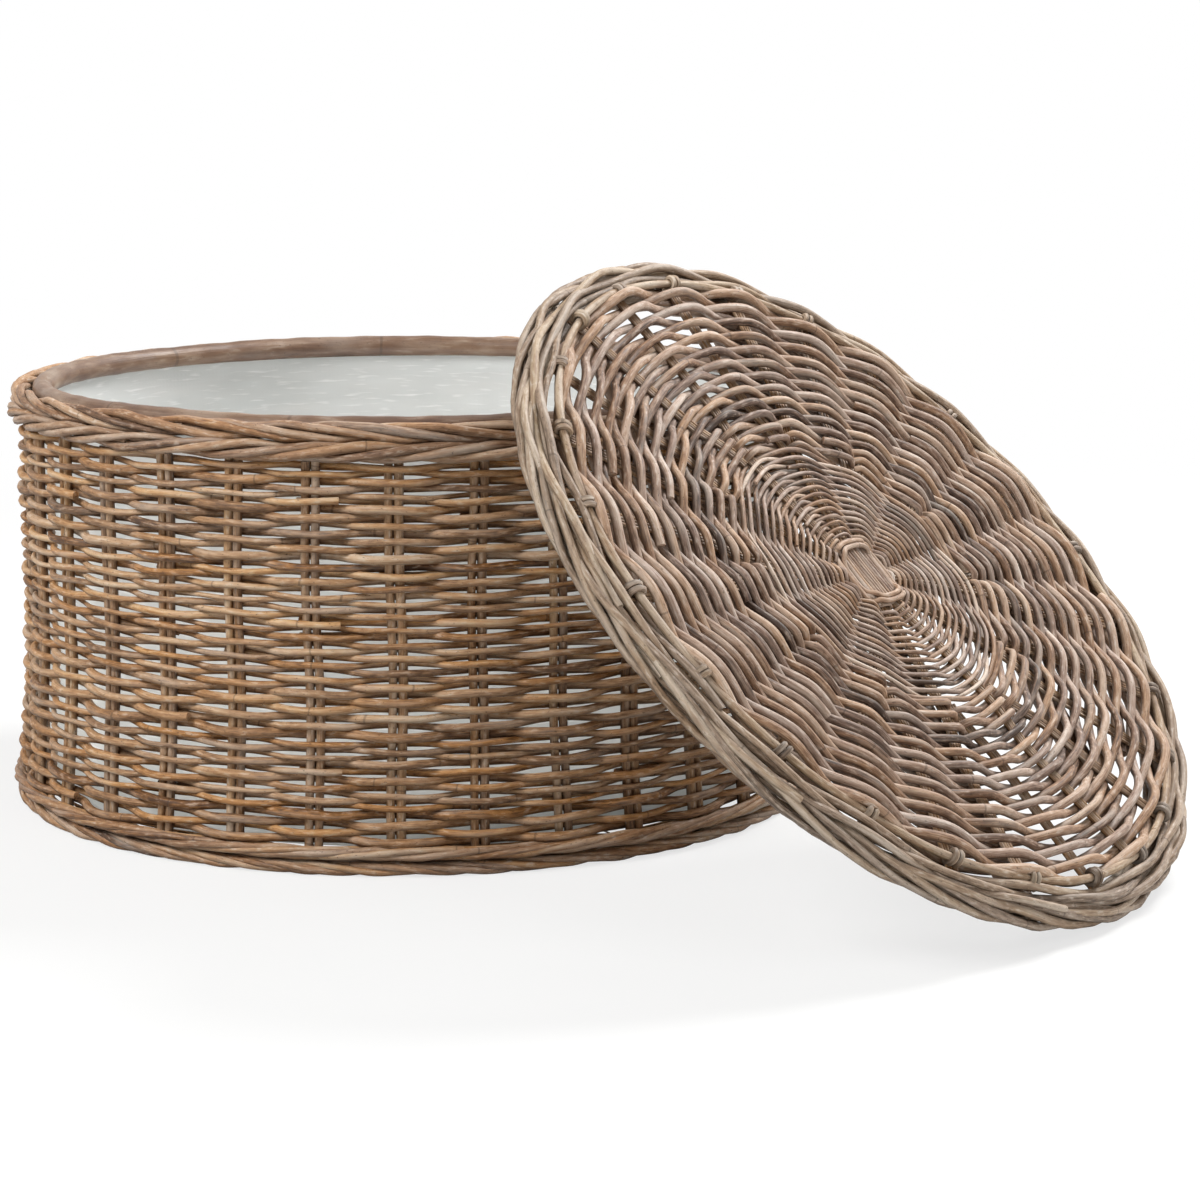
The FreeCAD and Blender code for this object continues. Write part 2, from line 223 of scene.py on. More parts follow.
@dataclass(frozen=True)
class Space:
    """Axes that pieces are made in: an origin, and the directions of x, y and z as rows."""

    origin: Array
    axes: Array

    @classmethod
    def of_lid(cls) -> "Space":
        """Finds the leaning lid's own axes from its hoop and rim.

        Returns:
            The axes, with z = 0 at the rim's underside.
        """
        hoop = node_points("lid_hoop")
        rough = hoop.mean(axis=0)
        normal = np.linalg.svd(hoop - rough, full_matrices=False)[2][2]
        normal *= math.copysign(1.0, normal[2])
        downhill = unit(normal * normal[2] - UP)
        axes = np.stack((downhill, np.cross(normal, downhill), normal))
        ring = (node_points("lid_rim_roll") - rough) @ axes.T
        middle = middle_of(ring)
        middle[2] = ring[:, 2].min()
        return cls(rough + middle @ axes, axes)

    def inside(self, points: Array) -> Array:
        """Turns points of the frame into these axes."""
        return (points - self.origin) @ self.axes.T

    def outside(self, points: Array) -> Array:
        """Turns points in these axes into the frame's."""
        return points @ self.axes + self.origin


FRAME_SPACE = Space(np.zeros(3), np.eye(3))


def lid_edge(space: Space) -> Hoop:
    """Measures the lid's edge rod, and sets it as far out as the photograph shows it."""
    rod = Hoop.of(space.inside(node_points("lid_ring_rod")))
    return replace(rod, circle=rod.circle + LID_EDGE_SHIFT)


# Rods: every rattan piece is a bundle of swept rods

def shelved(strips: Array, gap: float, growth: float = 1.03) -> tuple[Array, float]:
    """Lays strips side by side in rows on a square sheet.

    Args:
        strips: Length and width of each strip.
        gap: Room left round a strip.
        growth: How much larger the sheet gets at each new try.

    Returns:
        Each strip's lowest corner, and the sheet's side.
    """
    order = np.argsort(-strips[:, 1])
    side = max(strips[:, 0].max() + gap, math.sqrt(((strips + gap).prod(axis=1)).sum()))
    while True:
        corners = np.zeros_like(strips)
        across = up = shelf = 0.0
        for number in order:
            length, width = strips[number] + gap
            if across + length > side:
                across, up, shelf = 0.0, up + shelf, 0.0
            corners[number] = across, up
            across += length
            shelf = max(shelf, width)
        if up + shelf <= side:
            return corners, side
        side *= growth


@dataclass
class Rods:
    """Sweeps round rods and keeps them as one mesh, with each rod's run, tone and hue as attributes.

    The radius drift is a share of a rod's radius, and the end gap, on the texture map, is one too.
    """

    sides: int
    seed: int
    space: Space = FRAME_SPACE
    tone_spread: float = 0.15
    radius_drift: Drift = Drift((0.061, 0.033, 0.17), 0.035)
    pattern_shift: float = 50.0
    end_gap: float = 0.5
    strip_gap: float = 1.0 * MM
    sharp_angle: float = math.radians(60)
    total: int = field(init=False, default=0)
    random: np.random.Generator = field(init=False)
    layers: dict[str, list[Array]] = field(init=False)

    def __post_init__(self) -> None:
        """Starts an empty bundle with its own random source."""
        self.random = np.random.default_rng(self.seed)
        self.layers = defaultdict(list)

    def keep(self, **layers: Array) -> None:
        """Keeps one rod's arrays, each under its own name."""
        for name, values in layers.items():
            self.layers[name].append(values)

    def joined(self, name: str) -> Array:
        """Joins what was kept under a name, rod after rod."""
        return np.concatenate(self.layers[name])

    def add(self, path: Array, radius: Array | float, up: Array = UP, tone: float | None = None) -> None:
        """Adds one rod.

        Args:
            path: Points along the middle of the rod, in the bundle's space.
            radius: The rod's radius, one value or one for each point.
            up: A direction across the rod, in the bundle's space.
            tone: From 0, dark, to 1, pale; drawn at random where it is left out.
        """
        path = self.space.outside(path)
        steps = np.linalg.norm(np.diff(path, axis=0), axis=1)
        run = np.concatenate(([0.0], np.cumsum(steps)))
        radius = radius * (1 + self.radius_drift.along(run, self.random))
        along = unit(np.gradient(path, axis=0))
        across = unit(np.cross(along, up @ self.space.axes))
        lift = np.cross(across, along)
        turn = even_angles(self.sides)
        aside = radius[:, None] * np.cos(turn)
        above = radius[:, None] * np.sin(turn)
        ring = path[:, None] + aside[..., None] * across[:, None] + above[..., None] * lift[:, None]
        shifted = run[:, None] + self.random.uniform(0.0, self.pattern_shift)
        place = np.stack((np.broadcast_to(shifted, aside.shape), aside, above), axis=-1)
        if tone is None:
            tone = float(np.clip(self.random.normal(0.5, self.tone_spread), 0.0, 1.0))
        corner = np.arange(self.sides)
        ring_start = np.arange(len(path) - 1)[:, None] * self.sides
        first = ring_start + corner
        beside = ring_start + (corner + 1) % self.sides
        quads = np.stack((first, first + self.sides, beside + self.sides, beside), axis=-1)
        last_ring = (len(path) - 1) * self.sides
        self.keep(points=ring.reshape(-1, 3),
                  rod_space=place.reshape(-1, 3),
                  rod_tone=np.full(aside.size, tone),
                  rod_hue=np.full(aside.size, self.random.random()),
                  quads=quads.reshape(-1, 4) + self.total,
                  ends=np.stack((corner, corner[::-1] + last_ring)) + self.total)
        self.total += aside.size
        self.unroll(run, float(radius.max()), turn)

    def unroll(self, run: Array, radius: float, turn: Array) -> None:
        """Flattens one rod for the texture map: its skin as a strip, and its two ends beyond it.

        Args:
            run: Distance along the rod.
            radius: The rod's greatest radius.
            turn: Angle of each corner of its section.
        """
        round_it = FULL_TURN * radius * np.arange(self.sides + 1) / self.sides
        skin = np.stack(np.meshgrid(run, round_it, indexing="ij"), axis=-1)
        quads = np.stack((skin[:-1, :-1], skin[1:, :-1], skin[1:, 1:], skin[:-1, 1:]), axis=2)
        disc = radius * np.stack((1 + np.cos(turn), 1 + np.sin(turn)), axis=-1)
        beyond = np.array((run[-1] + self.end_gap * radius, 0.0))
        next_disc = np.array(((2 + self.end_gap) * radius, 0.0))
        self.keep(quad_map=quads.reshape(-1, 4, 2),
                  end_map=np.stack((disc + beyond, disc[::-1] + beyond + next_disc)),
                  strip=np.array((run[-1] + (4 + 3 * self.end_gap) * radius, FULL_TURN * radius)))

    def texture_map(self) -> Array:
        """Sets every rod's strip on one square sheet.

        Returns:
            Each face corner's place there, the skins' before the ends'.
        """
        corners, side = shelved(np.array(self.layers["strip"]), self.strip_gap)
        places = []
        for layer in ("quad_map", "end_map"):
            for flat, corner in zip(self.layers[layer], corners):
                places.append((flat + corner).reshape(-1, 2))
        return np.concatenate(places) / side

    def mesh(self, name: str) -> Mesh:
        """Makes the mesh of all rods added so far.

        Args:
            name: The mesh's name.

        Returns:
            The mesh, smooth but for the rods' cut ends.
        """
        quads = self.joined("quads")
        ends = self.joined("ends")
        corners = np.concatenate((quads.ravel(), ends.ravel()))
        lengths = np.repeat((4, self.sides), (len(quads), len(ends)))
        mesh = bpy.data.meshes.new(name)
        mesh.vertices.add(self.total)
        mesh.vertices.foreach_set("co", self.joined("points").ravel())
        mesh.loops.add(len(corners))
        mesh.loops.foreach_set("vertex_index", corners)
        mesh.polygons.add(len(lengths))
        mesh.polygons.foreach_set("loop_start", np.cumsum(lengths) - lengths)
        mesh.update(calc_edges=True)
        for layer, kind, key in (("rod_space", "FLOAT_VECTOR", "vector"),
                                 ("rod_tone", "FLOAT", "value"),
                                 ("rod_hue", "FLOAT", "value")):
            attribute = mesh.attributes.new(layer, kind, "POINT")
            attribute.data.foreach_set(key, self.joined(layer).ravel())
        mesh.uv_layers.new(name=EXPORT_MAP).uv.foreach_set("vector", self.texture_map().ravel())
        mesh.shade_smooth()
        mesh.set_sharp_from_angle(angle=self.sharp_angle)
        return mesh


def placed(data: Mesh | Light | Camera) -> Object:
    """Puts something in the scene under its own name.

    Args:
        data: A mesh, a light or a camera.

    Returns:
        The object that shows it.
    """
    thing = bpy.data.objects.new(data.name, data)
    bpy.context.scene.collection.objects.link(thing)
    return thing


def show(mesh: Mesh, look: Material, body: Body, nodes: Sequence[str]) -> Object:
    """Shows a mesh as a piece of the table in place of its solids.

    Args:
        mesh: The piece's mesh.
        look: Its material.
        body: The body that it rides on.
        nodes: The solids that it stands for.

    Returns:
        The piece.
    """
    piece = placed(mesh)
    mesh.materials.append(look)
    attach(piece, body.value)
    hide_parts(*nodes)
    faces = len(mesh.polygons)
    logger.info("%s: %d faces on the %s, for %d solids", piece.name, faces, body.value, len(nodes))
    return piece


# Weaving: rods that pass to one side and the other of the uprights or spokes

def flat_topped(swing: Array, flatness: float = 1.25) -> Array:
    """Bends a rod flat across a wide upright."""
    return np.tanh(flatness * swing) / math.tanh(flatness)


def arched(swing: Array, steep_share: float = 0.35, steepness: float = 0.93) -> Array:
    """Bends a rod in a steep arch over a narrow spoke."""
    steep = np.arcsin(steepness * swing) / math.asin(steepness)
    return (1 - steep_share) * swing + steep_share * steep


@dataclass(frozen=True)
class WovenRod:
    """One rod of a row: its angles round the axis, and its side of the uprights from -1 to 1."""

    angle: Array
    side: Array


@dataclass(frozen=True)
class WovenRow:
    """One row of weaving over one and under one.

    A rod ends just past an upright on the near side, where its cut end shows, or behind the next one.
    The rod after it starts behind the first upright. Steps are points from one upright to the next.
    """

    crossings: Array
    number: int
    bend: Callable[[Array], Array]
    steps: int = 12
    shown_tail: float = 0.35
    tucked_tail: float = 1.1
    head: float = 0.2
    shown_share: float = 0.4

    def rods(self, random: np.random.Generator, joins: int) -> list[WovenRod]:
        """Works out the row's rods.

        Args:
            random: The seeded source of where rods join.
            joins: How many joins, and so rods, the row has.

        Returns:
            The rods, in order.
        """
        count = len(self.crossings)
        near = np.arange(self.number % 2, count, 2)
        starts = np.sort(random.choice(near, joins, replace=False))
        rods = []
        for start, end in zip(starts, np.append(starts[1:], starts[0] + count)):
            tail = self.shown_tail if random.random() < self.shown_share else self.tucked_tail
            place = np.linspace(start - self.head, end + tail, int((end - start + 1) * self.steps))
            side = self.bend(np.cos(math.pi * (place + self.number)))
            rods.append(WovenRod(self.angle_at(place), np.where(place < start + 1, -1.0, side)))
        return rods

    def angle_at(self, place: Array) -> Array:
        """Turns places counted in crossings into angles.

        Args:
            place: Places from a turn before the first crossing to three turns after it.

        Returns:
            The angle at each place.
        """
        count = len(self.crossings)
        index = np.arange(-count, 3 * count)
        angles = np.tile(self.crossings, 4) + FULL_TURN * (index // count)
        return np.interp(place, index, angles)


@dataclass(frozen=True)
class HandLaid:
    """How unevenly rods are laid: their drifts out, up and in thickness, and how much rods differ."""

    out_drift: Drift
    level_drift: Drift = STEADY
    thickness_drift: Drift = STEADY
    uneven: float = 0.0

    def lay(self, rods: Rods, circle: float, angle: Array, out: Array | float, level: Array | float,
            radius: float, tone: float | None = None) -> None:
        """Lays one rod round the z axis.

        Args:
            rods: The bundle that takes it.
            circle: About how far from the axis it runs.
            angle: The angles of its points.
            out: How far from the axis each point is meant to lie.
            level: How high each point is meant to lie.
            radius: Its radius.
            tone: Its tone, where that isn't drawn at random.
        """
        run = angle * circle
        out = out + self.out_drift.along(run, rods.random)
        level = level + self.level_drift.along(run, rods.random)
        if self.uneven:
            radius = radius * rods.random.normal(1.0, self.uneven)
        radius = radius + self.thickness_drift.along(run, rods.random)
        rods.add(round_axis(angle, out, level), radius, UP, tone)


def graded(start: float, end: float, count: int, growth: float) -> tuple[Array, Array]:
    """Shares a width out among rows that grow.

    Args:
        start: Where the first row begins.
        end: Where the last row ends.
        count: Number of rows.
        growth: The last row's width over the first row's.

    Returns:
        The rows' middles and their widths.
    """
    widths = np.linspace(1.0, growth, count)
    widths *= (end - start) / widths.sum()
    return start + np.cumsum(widths) - widths / 2, widths


# Borders, hoops and poles

@dataclass(frozen=True)
class TwistedRow:
    """A border row of strands laid round a hoop, each tucked in behind after one turn.

    Overlap, jitter and the tuck's start and run are shares of a strand's turn.
    """

    hoop: Hoop
    strands: int
    strand_radius: float
    turn_length: float
    hand: Hand
    tuck_angle: float
    overlap: float = 0.12
    points: int = 34
    jitter: float = 0.035
    tuck_start: float = 0.40
    tuck_run: float = 0.22
    tuck_depth: float = 0.55
    tuck_thinning: float = 0.15
    uneven: float = 0.07
    reach_drift: Drift = Drift((0.11, 0.047), 0.6 * MM)
    thickness_drift: Drift = Drift((0.083,), 0.12 * MM)

    def add_to(self, rods: Rods) -> None:
        """Lays the row's strands.

        Args:
            rods: The bundle that takes them.
        """
        random = rods.random
        turns = round(FULL_TURN * self.hoop.circle / self.turn_length)
        spin = self.hoop.section - self.strand_radius
        share = np.linspace(-self.overlap, 1 + self.overlap, self.points)
        round_rope = self.tuck_angle + self.hand.value * FULL_TURN * share
        tucked = eased((np.abs(share - 0.5) - self.tuck_start) / self.tuck_run)
        for turn in range(turns):
            for strand in range(self.strands):
                shift = random.normal(0.0, self.jitter)
                angle = FULL_TURN * (turn + strand / self.strands + shift + share) / turns
                run = angle * self.hoop.circle
                reach = spin * (1 - self.tuck_depth * tucked) + self.reach_drift.along(run, random)
                thickness = self.strand_radius * random.normal(1.0, self.uneven)
                thickness = thickness * (1 - self.tuck_thinning * tucked)
                thickness = thickness + self.thickness_drift.along(run, random)
                out = self.hoop.circle + reach * np.cos(round_rope)
                rods.add(round_axis(angle, out, self.hoop.level + reach * np.sin(round_rope)), thickness)

    def show_on_drum(self, name: str, node: str, look: Material, seed: int) -> None:
        """Shows the row as one of the drum's borders.

        Args:
            name: The piece's name.
            node: The solid that it stands for.
            look: Its material.
            seed: Number that fixes its random choices.
        """
        rods = Rods(ROD_SIDES, seed)
        self.add_to(rods)
        show(rods.mesh(name), look, Body.DRUM, [node])


@dataclass(frozen=True)
class BentRod:
    """A rod bent into a hoop, with its two ends butted at the joint's angle."""

    hoop: Hoop
    joint: float
    laid: HandLaid = HandLaid(Drift((1.1, 0.47), 0.6 * MM), Drift((0.9, 0.38), 0.5 * MM),
                              Drift((0.33, 0.7), 0.25 * MM))
    gap: float = 0.002
    points: int = 300
    tone: float | None = 0.5

    def add_to(self, rods: Rods) -> None:
        """Adds the rod.

        Args:
            rods: The bundle that takes it.
        """
        angle = np.linspace(self.joint, self.joint + FULL_TURN - self.gap, self.points)
        circle = self.hoop.circle
        self.laid.lay(rods, circle, angle, circle, self.hoop.level, self.hoop.section, self.tone)


@dataclass(frozen=True)
class StraightPole:
    """A nearly straight pole in place of a solid, whose ends run on by the tuck into what holds them."""

    node: str
    tuck: float = 0.0
    points: int = 60
    radius_share: float = 0.985
    thickness_drift: Drift = Drift((0.23, 0.41), 0.15 * MM)
    aslant: tuple[float, float, float] = (0.3, 0.5, 0.81)
    tone: float = 0.5

    def add_to(self, rods: Rods) -> None:
        """Measures the solid and adds the pole.

        Args:
            rods: The bundle that takes it.
        """
        solid = node_points(self.node)
        middle = middle_of(solid)
        along = np.linalg.svd(solid - middle, full_matrices=False)[2][0]
        solid_run = (solid - middle) @ along
        aside = solid - middle - np.outer(solid_run, along)
        radius = np.linalg.norm(aside, axis=1).max() * self.radius_share
        run = np.linspace(-self.tuck, np.ptp(solid_run) + self.tuck, self.points)
        path = middle + np.outer(solid_run.min() + run, along)
        thickness = radius + self.thickness_drift.along(run, rods.random)
        rods.add(path, thickness, np.cross(along, self.aslant), self.tone)


# Finishes

def linear(hex_colour: str) -> Colour:
    """Turns an sRGB hex colour into linear light.

    Args:
        hex_colour: Six hex digits after a hash.

    Returns:
        Red, green, blue and full cover.
    """
    channels = []
    for start in (1, 3, 5):
        share = int(hex_colour[start:start + 2], 16) / 255
        channels.append(share / 12.92 if share <= 0.04045 else ((share + 0.055) / 1.055) ** 2.4)
    return (*channels, 1.0)


def add_node(tree: NodeTree, kind: str, inputs: dict | None = None, **settings: object) -> Node:
    """Adds a node with its settings and links.

    Args:
        tree: The material's nodes.
        kind: The node's type, without the ShaderNode that it begins with.
        inputs: Values, or sockets to link from, by the input's name or number.
        settings: The node's own settings. A ramp's stops are given as ramp, in pairs of place and colour.

    Returns:
        The node.
    """
    node = tree.nodes.new("ShaderNode" + kind)
    stops = settings.pop("ramp", ())
    for name, value in settings.items():
        setattr(node, name, value)
    for number, (place, colour) in enumerate(stops):
        elements = node.color_ramp.elements
        stop = elements[number] if number < 2 else elements.new(place)
        stop.position = place
        stop.color = colour
    for name, value in (inputs or {}).items():
        if isinstance(value, NodeSocket):
            tree.links.new(value, node.inputs[name])
        else:
            node.inputs[name].default_value = value
    return node


def calculated(tree: NodeTree, operation: str, *values: Value, kind: str = "Math") -> NodeSocket:
    """Adds a calculation with numbers, or with vectors where the kind is VectorMath."""
    return add_node(tree, kind, dict(enumerate(values)), operation=operation).outputs[0]


def ranged(tree: NodeTree, value: Value, span: Range, low: float = 0.0, high: float = 1.0,
           curve: str = "LINEAR") -> NodeSocket:
    """Brings a value from its span into the range from low to high, and holds it there beyond."""
    inputs = {"Value": value, "From Min": span[0], "From Max": span[1], "To Min": low, "To Max": high}
    return add_node(tree, "MapRange", inputs, interpolation_type=curve).outputs[0]


def blended(tree: NodeTree, cover: Value, below: NodeSocket, above: NodeSocket | Colour,
            kind: str = "MIX") -> NodeSocket:
    """Lays one colour over another, as far as its cover says."""
    # A Mix of colours takes them at inputs 6 and 7 and gives its own at output 2
    inputs = {0: cover, 6: below, 7: above}
    return add_node(tree, "Mix", inputs, data_type="RGBA", blend_type=kind).outputs[2]


def shared(tree: NodeTree, share: Value, first: Node, second: Node) -> Node:
    """Mixes two surfaces, with that share of the second."""
    return add_node(tree, "MixShader", {0: share, 1: first.outputs[0], 2: second.outputs[0]})


def read(tree: NodeTree, attribute: str, output: str = "Fac") -> NodeSocket:
    """Reads one of the mesh's attributes."""
    return add_node(tree, "Attribute", attribute_name=attribute).outputs[output]


def bumped(tree: NodeTree, height: NodeSocket, strength: float, distance: float) -> NodeSocket:
    """Turns heights into a bumpy surface's directions."""
    inputs = {"Strength": strength, "Distance": distance, "Height": height}
    return add_node(tree, "Bump", inputs).outputs[0]


def empty_material(name: str) -> tuple[Material, NodeTree]:
    """Makes a material with no nodes.

    Args:
        name: The material's name.

    Returns:
        The material and its nodes.
    """
    material = bpy.data.materials.new(name)
    material.use_nodes = True
    material.node_tree.nodes.clear()
    return material, material.node_tree


@dataclass(frozen=True)
class Grain:
    """A noise drawn out along a rod or a thread: its size along and across it, and its finer layers."""

    length: float
    width: float
    detail: float

    def add_to(self, tree: NodeTree, space: NodeSocket) -> NodeSocket:
        """Adds the noise.

        Args:
            tree: The material's nodes.
            space: The place along the rod or thread, and across it.

        Returns:
            The noise's value.
        """
        scale = (1 / self.length, 1 / self.width, 1 / self.width)
        scaled = calculated(tree, "MULTIPLY", space, scale, kind="VectorMath")
        noise = add_node(tree, "TexNoise", {"Vector": scaled, "Scale": 1.0, "Detail": self.detail})
        return noise.outputs["Fac"]


@dataclass(frozen=True)
class WashedRattan:
    """Rattan core, split or whole, dyed and washed with thinned pale paint, then left matt.

    The eye gets grey-brown rods that differ one from the next, fine dark fibre lines along each, pale
    film and scuffs where the wash stayed, small dark flecks, and a thin line where a leaf joint was.
    Painted shade darkens each rod's colour on the side away from its up direction, mostly its underside,
    where it lies against its neighbours.
    """

    name: str
    colours: tuple[str, str, str, str, str]
    warm_colours: tuple[str, str, str, str, str]
    wash_colour: str = "#cfc5b9"
    fleck_colour: str = "#3a2a1e"
    fibre: Grain = Grain(22 * MM, 0.8 * MM, 3.0)
    patch: Grain = Grain(130 * MM, 14 * MM, 2.0)
    film: Grain = Grain(65 * MM, 7 * MM, 4.0)
    scuff: Grain = Grain(9 * MM, 2.6 * MM, 5.0)
    fleck: Grain = Grain(2.8 * MM, 1.4 * MM, 1.0)
    fibre_strength: float = 0.95
    patch_strength: float = 0.9
    scuff_strength: float = 0.9
    warm_patch: float = 0.8
    warm_range: Range = (0.5, 1.3)
    wash_amount: float = 0.42
    film_range: Range = (0.48, 0.72)
    scuff_range: Range = (0.56, 0.7)
    fleck_amount: float = 0.55
    fleck_range: Range = (0.66, 0.74)
    # Painted shade on the side of each rod away from its up direction: the most colour it takes away, and
    # the heights on the section, from -1 to 1, over which it fades out
    painted_shade_depth: float = 0.5
    painted_shade_range: Range = (-0.7, 0.5)
    joint_spacing: float = 420 * MM
    joint_width: float = 1.1 * MM
    joint_amount: float = 0.45
    joint_relief: float = -0.6
    joint_shift_length: float = 2.3
    roughness: float = 0.58
    smoother: float = 0.1
    rougher: float = 0.14
    shine: float = 0.4
    refraction: float = 1.5
    bump_strength: float = 0.7
    bump_height: float = 0.5 * MM

    def material(self) -> Material:
        """Makes the material, which follows each rod's own run and tone.

        Returns:
            The material.
        """
        material, tree = empty_material(self.name)
        space = read(tree, "rod_space", "Vector")
        fibre = self.fibre.add_to(tree, space)
        patch = self.patch.add_to(tree, space)
        scuff = self.scuff.add_to(tree, space)
        joint = self.joint_line(tree, space)
        film = ranged(tree, self.film.add_to(tree, space), self.film_range, high=self.wash_amount)
        scuffed = ranged(tree, scuff, self.scuff_range, high=self.wash_amount)
        fleck = ranged(tree, self.fleck.add_to(tree, space), self.fleck_range, high=self.fleck_amount)
        washed = calculated(tree, "MAXIMUM", film, scuffed)
        marks = calculated(tree, "MAXIMUM", fleck, joint)
        colour = self.dyed(tree, fibre, patch, scuff)
        colour = blended(tree, washed, colour, linear(self.wash_colour))
        colour = blended(tree, marks, colour, linear(self.fleck_colour))
        # Painted shade: the colour is darkened on the side of each rod away from its up direction
        colour = blended(tree, 1.0, colour, self.painted_rod_shade(tree, space), "MULTIPLY")
        roughness = ranged(tree, fibre, (0.0, 1.0), self.roughness - self.smoother,
                           self.roughness + self.rougher)
        skin = calculated(tree, "ADD", fibre, scuff)
        relief = calculated(tree, "MULTIPLY_ADD", joint, self.joint_relief, skin)
        surface = add_node(tree, "BsdfPrincipled", {
            "Base Color": colour, "Roughness": roughness, "IOR": self.refraction,
            "Specular IOR Level": self.shine,
            "Normal": bumped(tree, relief, self.bump_strength, self.bump_height)})
        add_node(tree, "OutputMaterial", {"Surface": surface.outputs[0]})
        return material

    def dyed(self, tree: NodeTree, fibre: NodeSocket, patch: NodeSocket, scuff: NodeSocket) -> NodeSocket:
        """Adds the dye, from dark to pale by the rod's tone and from grey to warm by its hue.

        Args:
            tree: The material's nodes.
            fibre: The fine lines along the rod.
            patch: The slow change along it.
            scuff: The short rubbed places.

        Returns:
            The colour under the wash.
        """
        depth = read(tree, "rod_tone")
        for layer, strength in ((patch, self.patch_strength),
                                (fibre, self.fibre_strength),
                                (scuff, self.scuff_strength)):
            swing = calculated(tree, "SUBTRACT", layer, 0.5)
            depth = calculated(tree, "MULTIPLY_ADD", swing, strength, depth)
        ramps = []
        for colours in (self.colours, self.warm_colours):
            places = np.linspace(0.0, 1.0, len(colours)).tolist()
            stops = [(place, linear(colour)) for place, colour in zip(places, colours)]
            ramps.append(add_node(tree, "ValToRGB", {"Fac": depth}, ramp=stops).outputs[0])
        warmth = calculated(tree, "MULTIPLY_ADD", patch, self.warm_patch, read(tree, "rod_hue"))
        return blended(tree, ranged(tree, warmth, self.warm_range), *ramps)

    def painted_rod_shade(self, tree: NodeTree, space: NodeSocket) -> NodeSocket:
        """Adds painted shade on the side away from the rod's up direction, where it lies against other rods.

        Args:
            tree: The material's nodes.
            space: The rod's own run and section.

        Returns:
            How much of the colour is left.
        """
        section = calculated(tree, "MULTIPLY", space, (0.0, 1.0, 1.0), kind="VectorMath")
        outward = calculated(tree, "NORMALIZE", section, kind="VectorMath")
        height = add_node(tree, "SeparateXYZ", {0: outward}).outputs[2]
        return ranged(tree, height, self.painted_shade_range, low=1 - self.painted_shade_depth)

    def joint_line(self, tree: NodeTree, space: NodeSocket) -> NodeSocket:
        """Adds the thin dark ring where each leaf grew.

        Args:
            tree: The material's nodes.
            space: The rod's own run and section.

        Returns:
            The ring's cover.
        """
        run = add_node(tree, "SeparateXYZ", {0: space}).outputs[0]
        uneven = Grain(self.joint_shift_length * self.joint_spacing, 1.0, 0.0).add_to(tree, space)
        shifted = calculated(tree, "MULTIPLY_ADD", uneven, self.joint_spacing, run)
        saw = calculated(tree, "PINGPONG", shifted, self.joint_spacing / 2)
        return ranged(tree, saw, (self.joint_width / 2, self.joint_width), self.joint_amount, 0.0)


@dataclass(frozen=True)
class LiningCloth:
    """Plain-woven cotton with slubs, pressed flat.

    The eye gets a pale grey ground with soft broad clouds, short pale dashes where a weft thread is
    thicker, and some light from inside the drum through the thin cloth. The weave is drawn several
    times as coarse as real cotton, because a finer one doesn't show in the render.
    """

    name: str = "lining_cotton_plain_weave"
    ground_colour: str = "#dcdedc"
    shade_colour: str = "#d3d6d4"
    slub_colour: str = "#f0f1f0"
    cloud: Grain = Grain(190 * MM, 34 * MM, 3.0)
    cloud_range: Range = (0.35, 0.6)
    slub: Grain = Grain(26 * MM, 3.2 * MM, 1.0)
    slub_range: Range = (0.58, 0.8)
    slub_relief: float = 1.5
    weave_repeat: float = 4.7374 * MM
    let_through: float = 0.35
    roughness: float = 0.85
    nap: float = 0.15
    shine: float = 0.25
    refraction: float = 1.5
    bump_strength: float = 0.35
    bump_height: float = 0.3 * MM

    def material(self) -> Material:
        """Makes the material, which follows the cloth's own width and length.

        Returns:
            The material.
        """
        material, tree = empty_material(self.name)
        space = read(tree, "cloth_space", "Vector")
        stops = zip(self.cloud_range, (linear(self.shade_colour), linear(self.ground_colour)))
        cloud = self.cloud.add_to(tree, space)
        clouded = add_node(tree, "ValToRGB", {"Fac": cloud}, ramp=tuple(stops)).outputs[0]
        slub = ranged(tree, self.slub.add_to(tree, space), self.slub_range)
        colour = blended(tree, slub, clouded, linear(self.slub_colour))
        scale = FULL_TURN / (WAVE_RADIANS * self.weave_repeat)
        warp, weft = (add_node(tree, "TexWave", {"Vector": space, "Scale": scale}, bands_direction=axis)
                      for axis in ("X", "Y"))
        weave = calculated(tree, "MULTIPLY", warp.outputs["Fac"], weft.outputs["Fac"])
        relief = calculated(tree, "MULTIPLY_ADD", slub, self.slub_relief, weave)
        surface = add_node(tree, "BsdfPrincipled", {
            "Base Color": colour, "Roughness": self.roughness, "Sheen Weight": self.nap,
            "IOR": self.refraction, "Specular IOR Level": self.shine,
            "Normal": bumped(tree, relief, self.bump_strength, self.bump_height)})
        glow = add_node(tree, "BsdfTranslucent", {"Color": colour})
        thin = shared(tree, self.let_through, surface, glow)
        add_node(tree, "OutputMaterial", {"Surface": thin.outputs[0]})
        return material


WEAVER = WashedRattan("washed_rattan_core_weaver",
                      ("#4c3422", "#846347", "#ab8663", "#c3a17f", "#d3bca2"),
                      ("#513115", "#936434", "#b8844f", "#cda26f", "#d9bb93"), wash_amount=0.36)
PLAIT = WashedRattan("washed_rattan_core_plait",
                     ("#4b3321", "#7d5d45", "#9d7c60", "#b3947a", "#c8b39d"),
                     ("#50321a", "#875f3d", "#a87c54", "#bb956e", "#ccb092"))
LID_WEAVER = WashedRattan("washed_rattan_core_lid",
                          ("#3c2c22", "#715a4c", "#987f6f", "#b49e8f", "#d2c4ba"),
                          ("#402b1b", "#7c5c44", "#a27f61", "#ba9a7e", "#cfbaa6"), wash_amount=0.4)
LID_PLAIT = WashedRattan("washed_rattan_core_lid_rim",
                         ("#3e3026", "#726050", "#937f6e", "#aa9786", "#c4b6a7"),
                         ("#433020", "#7a6147", "#9a7f65", "#af987b", "#c3b09a"))
